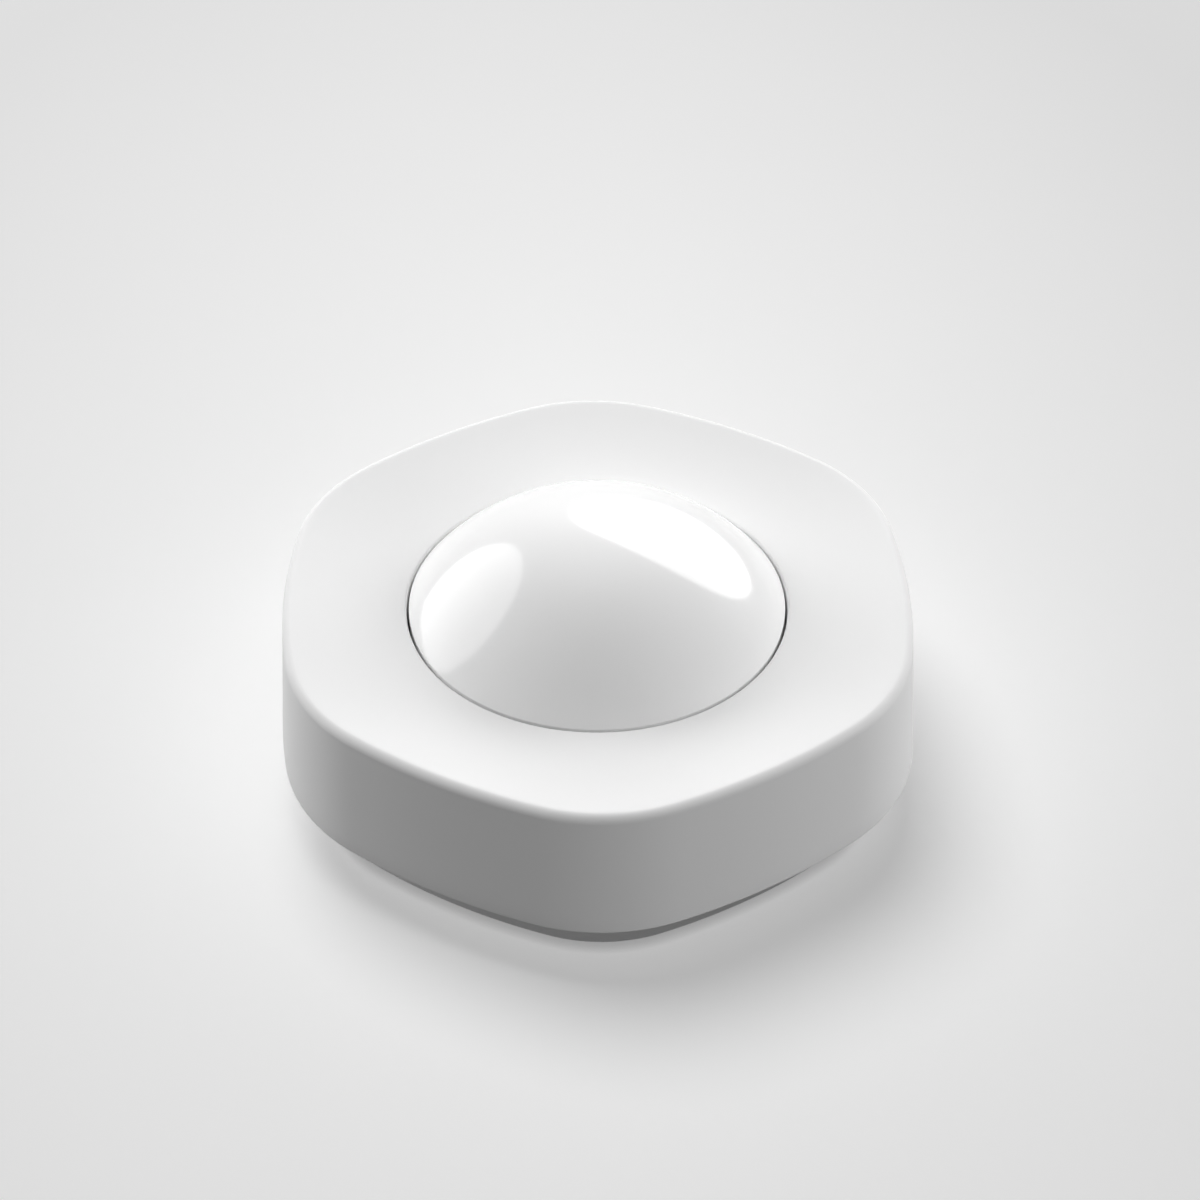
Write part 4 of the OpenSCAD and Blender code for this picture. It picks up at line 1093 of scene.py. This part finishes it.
class SENSOR_OT_make_feet(SensorOperator, bpy.types.Operator):
    """Builds the three rubber foot pads"""
    bl_idname = "sensor.make_feet"
    bl_label = "Foot pads"

    def execute(self, context):
        high = high_z("foot_pads")
        groove_z, fine = 0.12 * MM, 0.05 * MM
        groove = [(1.2 * MM, 0), (1.4 * MM, groove_z, fine), (1.7 * MM, groove_z, fine), (1.9 * MM, 0)]
        profile = softened([(0, 0), *groove, (PAD_R, 0, 0.45 * MM), (PAD_R, high, 0.1 * MM), (0, high)], 5)

        def worn(co):
            """One at the lower rim."""
            return max(0, 1 - abs(co.xy.length - PAD_R) / (0.5 * MM)) if co.z < 0.5 * MM else 0

        for angle in FOOT_ANGLES:
            pad = lathe(f"foot_pad_{angle}", profile, 64, closed=False)
            pad.location = unit(angle) * context.scene.sensor_base.corner_ring_r
            mark(pad, "edge", worn)
            dressed(pad, "pad_rubber", "housing", "foot_pads")
        return {"FINISHED"}


def threaded(root_r, tip_r, pitch, z0, z1, steps=36):
    """A shank with a real helical thread, tapered at its upper end."""
    count = max(8, int((z1 - z0) / pitch * 10))
    rings = []
    for z in [z0 + (z1 - z0) * j / count for j in range(count + 1)]:
        fade = min(1, (z1 - z) / (1.5 * pitch), (z - z0) / (0.5 * pitch))
        points = []
        for i in range(steps):
            phase = (z / pitch - i / steps) % 1
            crest = max(0, 1 - abs(phase - 0.5) / 0.35) * fade
            points.append(at(unit(360 * i / steps) * (root_r + (tip_r - root_r) * crest), z))
        rings.append(points)
    return loft("thread", rings, sharp=30)


class SENSOR_OT_make_probes(SensorOperator, bpy.types.Operator):
    """Builds the three water probes: turned heads on threaded shanks"""
    bl_idname = "sensor.make_probes"
    bl_label = "Water probes"

    def execute(self, context):
        low, high = low_z("water_probes"), high_z("water_probes")
        head_r, shank_r, seat, soft = PROBE_HEAD_R, 1.15 * MM, low + 1.1 * MM, 0.2 * MM
        shank_z = seat + 3.4 * MM
        head = [(0, low), (0.5 * MM, low), (head_r - 0.45 * MM, low, soft), (head_r, low + 0.4 * MM, soft),
                (head_r, seat, 0.08 * MM)]
        profile = softened([*head, (shank_r, seat), (shank_r, shank_z), (0, shank_z)], 5)
        for angle in PROBE_ANGLES:
            probe = lathe(f"water_probe_{angle}", profile, 72, closed=False)
            carve(probe, [threaded(1.0 * MM, 1.2 * MM, 0.4 * MM, seat + 2.5 * MM, high)], "UNION")
            shade(probe, 35)
            probe.location = unit(angle) * context.scene.sensor_base.side_ring_r
            dressed(probe, "probe_gold", "housing", "water_probes")
        return {"FINISHED"}


class SENSOR_OT_make_screws(SensorOperator, bpy.types.Operator):
    """Builds the three screws that hold the base: rounded heads with a cross recess, and threaded shanks"""
    bl_idname = "sensor.make_screws"
    bl_label = "Base screws"

    def execute(self, context):
        low, high = low_z("base_screws"), high_z("base_screws")
        head_r, shank_r, seat = 2.2 * MM, 1.15 * MM, low + 1.6 * MM
        shank_z = seat + 1.2 * MM
        profile = softened([(0, low), (head_r, low, 0.6 * MM), (head_r, seat, 0.1 * MM), (shank_r, seat),
                            (shank_r, shank_z), (0, shank_z)], 6)
        for angle in SCREW_ANGLES:
            screw = lathe(f"base_screw_{angle}", profile, 72, closed=False)
            carve(screw, [threaded(0.9 * MM, 1.2 * MM, 0.8 * MM, seat + 0.6 * MM, high)], "UNION")
            arms = [placed(self.arm(low + lift), turn + 20) for turn, lift in ((0, 0), (90, 0.05 * MM))]
            carve(screw, arms, "DIFFERENCE")
            shade(screw, 35)
            screw.location = unit(angle) * context.scene.sensor_base.corner_ring_r
            dressed(screw, "screw_steel", "housing", "base_screws")
        return {"FINISHED"}

    def arm(self, low):
        """A cutter for two opposite arms of the cross recess, narrower at its floor."""
        rings = []
        corners = (-1, -1), (1, -1), (1, 1), (-1, 1)
        mouth_sizes, floor_sizes = (1.2 * MM, 0.3 * MM, low - 0.25 * MM), (0.7 * MM, 0.2 * MM, low + 0.9 * MM)
        for half_l, half_w, z in (mouth_sizes, floor_sizes):
            rings.append([Vector((x * half_l, y * half_w, z)) for x, y in corners])
        return loft("arm", rings)


class SENSOR_OT_make_cell(SensorOperator, bpy.types.Operator):
    """Builds the coin cell: a rounded can, a crimped shoulder, a seal ring and a raised cap"""
    bl_idname = "sensor.make_cell"
    bl_label = "Coin cell"

    def execute(self, context):
        low, high, can_r = low_z("coin_cell"), high_z("coin_cell"), reach_x("coin_cell")
        seal_z = high - 0.8 * MM
        shoulder = [(can_r, high - 0.75 * MM, 0.2 * MM), (can_r - 0.9 * MM, high - 0.6 * MM, 0.15 * MM)]
        seal = [(can_r - 1.05 * MM, seal_z), (can_r - 1.4 * MM, seal_z)]
        cap = [(can_r - 1.6 * MM, high, 0.25 * MM), (0, high)]
        profile = softened([(0, low), (can_r, low, 0.5 * MM), *shoulder, *seal, *cap], 5)
        cell = lathe("button_cell", profile, 128, closed=False)
        dressed(cell, "cell_steel", "housing", "coin_cell")
        return {"FINISHED"}


# Widths of the bevels in millimetres
INNER_BEVELS = {"button_seal": 0.1, "light_frame": 0, "frame_screws": 0.05, "main_board": 0.04,
                "board_chips": 0.06, "status_lamps": 0.05, "switch_body": 0.08, "switch_plunger": 0.1,
                "buzzer": 0.15, "radio_module": 0.06, "buffer_capacitor": 0.12, "antenna": 0.03,
                "battery_holder": 0.08, "positive_contact": 0.03, "negative_contact": 0.03,
                "housing_gasket": 0.12, "door_seal": 0, "probe_seals": 0.08, "probe_contacts": 0.03,
                "probe_nuts": 0.08}


class SENSOR_OT_dress_inside(SensorOperator, bpy.types.Operator):
    """Gives every inner piece of the frame its finish, and breaks the sharp edges of those whose bevel is
    above zero
    """
    bl_idname = "sensor.dress_inside"
    bl_label = "Inner pieces"

    def execute(self, context):
        for name, bevel in INNER_BEVELS.items():
            dress_node(name, bevel)
        return {"FINISHED"}


class SENSOR_OT_make_stage(SensorOperator, bpy.types.Operator):
    """Makes the camera, the lamps, the pale floor and the backdrop"""
    bl_idname = "sensor.make_stage"
    bl_label = "Stage"

    def execute(self, context):
        scene = context.scene
        studio = scene.sensor_studio
        self.camera(scene, studio)
        self.world(scene, studio)
        floor = self.floor(studio)
        cover, base = bpy.data.objects["cover_shell"], bpy.data.objects["base_tray"]
        off_matte = self.receivers("all_but_floor_and_cover", (floor, cover), "EXCLUDE")
        off_floor = self.receivers("all_but_floor", (floor,), "EXCLUDE")
        off_base = self.receivers("all_but_floor_and_base", (floor, base), "EXCLUDE")
        floor_alone = self.receivers("floor_alone", (floor,), "INCLUDE")
        self.panel("right_panel", studio.right_panel, off_matte, azimuth=27, low=0.012, tall=0.465, wide=0.53)
        self.panel("left_panel", studio.left_panel, off_matte, azimuth=-60, low=-0.02, tall=0.51, wide=0.46,
                   roll=-12)
        for name, azimuth, elevation, receivers in (
                ("left_lamp", -60, 22, off_floor), ("right_lamp", 60, 22, off_floor),
                ("back_lamp", 0, 22, off_floor), ("side_lamp", -90, 45, off_floor),
                ("high_lamp", 0, 68, off_floor), ("front_lamp", 120, 22, off_base),
                ("fill_lamp", 135, 45, off_base)):
            self.disc(name, getattr(studio, name), receivers, azimuth, elevation, distance=0.6, radius=0.15)
        self.disc("shadow_lamp", studio.shadow_lamp, floor_alone, -33, 66, distance=1.2, radius=0.42)
        scene.view_settings.view_transform = "Standard"
        return {"FINISHED"}

    def camera(self, scene, studio):
        """The photo's camera, which looks down at the sensor from the front."""
        camera = bpy.data.objects.new("photo_camera", bpy.data.cameras.new("photo_camera"))
        camera.data.lens = studio.lens
        camera.data.sensor_width = 36
        camera.data.clip_start = 0.01
        tilt = studio.camera_elevation
        spot = Vector((studio.target_x, -studio.camera_distance * math.cos(tilt),
                       studio.target_z + studio.camera_distance * math.sin(tilt)))
        around = Matrix.Rotation(studio.camera_azimuth, 4, "Z")
        looking = Matrix.Rotation(math.pi / 2 - tilt, 4, "X")
        camera.matrix_world = around @ Matrix.Translation(spot) @ looking
        scene.collection.objects.link(camera)
        scene.camera = camera

    def world(self, scene, studio):
        """A pale backdrop that lights nothing: the light comes from the lamps and the floor."""
        world = bpy.data.worlds.new("studio")
        world.use_nodes = True
        scene.world = world
        web = Web(world.node_tree)
        back = world.node_tree.nodes["Background"].inputs
        web.feed(back["Color"], web.mix(seen_directly(web), BLACK, grey(studio.backdrop)))

    def floor(self, studio):
        """A floor that shows a glow, a painted pool of light brightest behind the sensor with painted contact
        shade close round it, and the shadow that one lamp throws on it.

        It is clear when seen from below, so that the underside can be looked at."""
        drop, rings = -0.02 * MM, 40
        glow_y, glow_r, squeeze = 40 * MM, 110 * MM, 0.64
        peak, outer, contact = 1.4, 0.88, 1.2 * MM
        profile = [(studio.floor_r * (rings - i) / rings, drop) for i in range(rings + 1)]
        floor = lathe("floor", profile, 96, closed=False)
        material, web, shader = new_material("studio_floor")
        seen = seen_directly(web)
        centred = web.vector("ADD", web.place(), (0.0, -glow_y, 0.0))
        squeezed = web.vector("MULTIPLY", centred, (1.0, squeeze, 0.0))
        # Painted pool of light: the glow is brightest behind the sensor and falls off outwards.
        fall = web.remap(web.vector("LENGTH", squeezed), 0.0, glow_r, peak, outer)
        paper = web.remap(web.noise(web.place(), 30.0, 3), 0.3, 0.7, 0.995, 1.005)
        # Painted contact shade: the glow fades where the sensor hides the floor within 1.2 mm.
        open_sky = web.add("ShaderNodeAmbientOcclusion", {"Distance": contact}).outputs["AO"]
        glow = web.scaled(web.scaled(web.scaled(fall, paper), studio.floor_glow), open_sky)
        shown = web.mix_value(seen, studio.bounce, glow)
        channels = {key: shown for key in ("Red", "Green", "Blue")}
        web.feed(shader["Base Color"], web.mix(seen, BLACK, tinted(studio.floor_colour, 1.0)))
        web.feed(shader["Emission Color"], web.add("ShaderNodeCombineColor", channels).outputs[0])
        shader["Emission Strength"].default_value = 1.0
        shader["Roughness"].default_value = 1.0
        shader["Specular IOR Level"].default_value = 0.0
        nodes = material.node_tree.nodes
        below = web.add("ShaderNodeNewGeometry").outputs["Backfacing"]
        clear = web.add("ShaderNodeBsdfTransparent").outputs[0]
        either = web.add("ShaderNodeMixShader", {0: below, 1: nodes["Principled BSDF"].outputs[0], 2: clear})
        web.feed(nodes["Material Output"].inputs["Surface"], either.outputs[0])
        floor.data.materials.append(material)
        return floor

    def receivers(self, name, pieces, state):
        """A set of what a lamp lights: these pieces alone, or everything but these."""
        lit = bpy.data.collections.new(name)
        for piece in pieces:
            lit.objects.link(piece)
        for member in lit.collection_objects:
            member.light_linking.link_state = state
        return lit

    def panel(self, name, strength, receivers, azimuth, low, tall, wide, roll=0):
        """An upright oval softbox behind the sensor, seen in the dome."""
        way = self.way(azimuth)
        middle = Vector((0, 0, high_z("dome_button") - 4 * MM))
        spot = middle + way * 0.4 + Vector((0, 0, low + tall / 2))
        power = strength * math.pi * (math.pi * wide * tall / 4)
        panel = self.lamp(name, "ELLIPSE", (wide, tall), power, receivers, way, spot, roll)
        panel.visible_diffuse = False

    def disc(self, name, strength, receivers, azimuth, elevation, distance, radius):
        """A round lamp that looks at the sensor and isn't seen in it."""
        way = self.way(azimuth, elevation)
        power = strength * 4 * math.pi * radius ** 2
        spot = way * distance + Vector((0, 0, 0.02))
        disc = self.lamp(name, "DISK", (2 * radius, 2 * radius), power, receivers, way, spot)
        disc.visible_glossy = False

    def way(self, azimuth, elevation=0):
        """The direction of a lamp from the sensor: azimuth 0 is straight behind and 90 to the right."""
        turn, level = math.radians(azimuth), math.cos(math.radians(elevation))
        return Vector((math.sin(turn) * level, math.cos(turn) * level, math.sin(math.radians(elevation))))

    def lamp(self, name, shape, size, power, receivers, way, spot, roll=0):
        """An area lamp at a spot, which looks back along its way and lights what it is told to."""
        light = bpy.data.lights.new(name, "AREA")
        light.shape = shape
        light.size, light.size_y = size
        light.energy = power
        facing = way.to_track_quat("Z", "Y").to_matrix().to_4x4()
        lamp = bpy.data.objects.new(name, light)
        lamp.matrix_world = Matrix.Translation(spot) @ facing @ Matrix.Rotation(math.radians(roll), 4, "Z")
        lamp.visible_camera = False
        lamp.light_linking.receiver_collection = receivers
        bpy.context.scene.collection.objects.link(lamp)
        return lamp


OPERATORS = (SENSOR_OT_make_effects, SENSOR_OT_make_cover, SENSOR_OT_make_dome, SENSOR_OT_make_springs,
             SENSOR_OT_make_base, SENSOR_OT_make_door, SENSOR_OT_make_feet, SENSOR_OT_make_probes,
             SENSOR_OT_make_screws, SENSOR_OT_make_cell, SENSOR_OT_dress_inside, SENSOR_OT_make_stage)


class SENSOR_PT_looks(bpy.types.Panel):
    """Lists the steps that build the sensor's looks, and their sizes and colours"""
    bl_label = "Leak sensor"
    bl_idname = "SENSOR_PT_looks"
    bl_space_type = "VIEW_3D"
    bl_region_type = "UI"
    bl_category = "Leak sensor"

    def draw(self, context):
        layout = self.layout
        for operator in OPERATORS:
            layout.operator(operator.bl_idname)
        for name, group in GROUPS.items():
            box_layout = layout.box()
            box_layout.label(text=group.__doc__)
            values = getattr(context.scene, name)
            for key in group.__annotations__:
                box_layout.prop(values, key)


CLASSES = (*GROUPS.values(), *OPERATORS, SENSOR_PT_looks)


def register():
    """Registers every class and hangs the property groups on the scene."""
    for item in CLASSES:
        bpy.utils.register_class(item)
    for name, group in GROUPS.items():
        setattr(bpy.types.Scene, name, PointerProperty(type=group))


def unregister():
    """Undoes what register did."""
    for name in GROUPS:
        delattr(bpy.types.Scene, name)
    for item in reversed(CLASSES):
        bpy.utils.unregister_class(item)


def main():
    register()
    for operator in OPERATORS:
        group, step = operator.bl_idname.split(".")
        getattr(getattr(bpy.ops, group), step)()


if __name__ == "__main__":
    main()
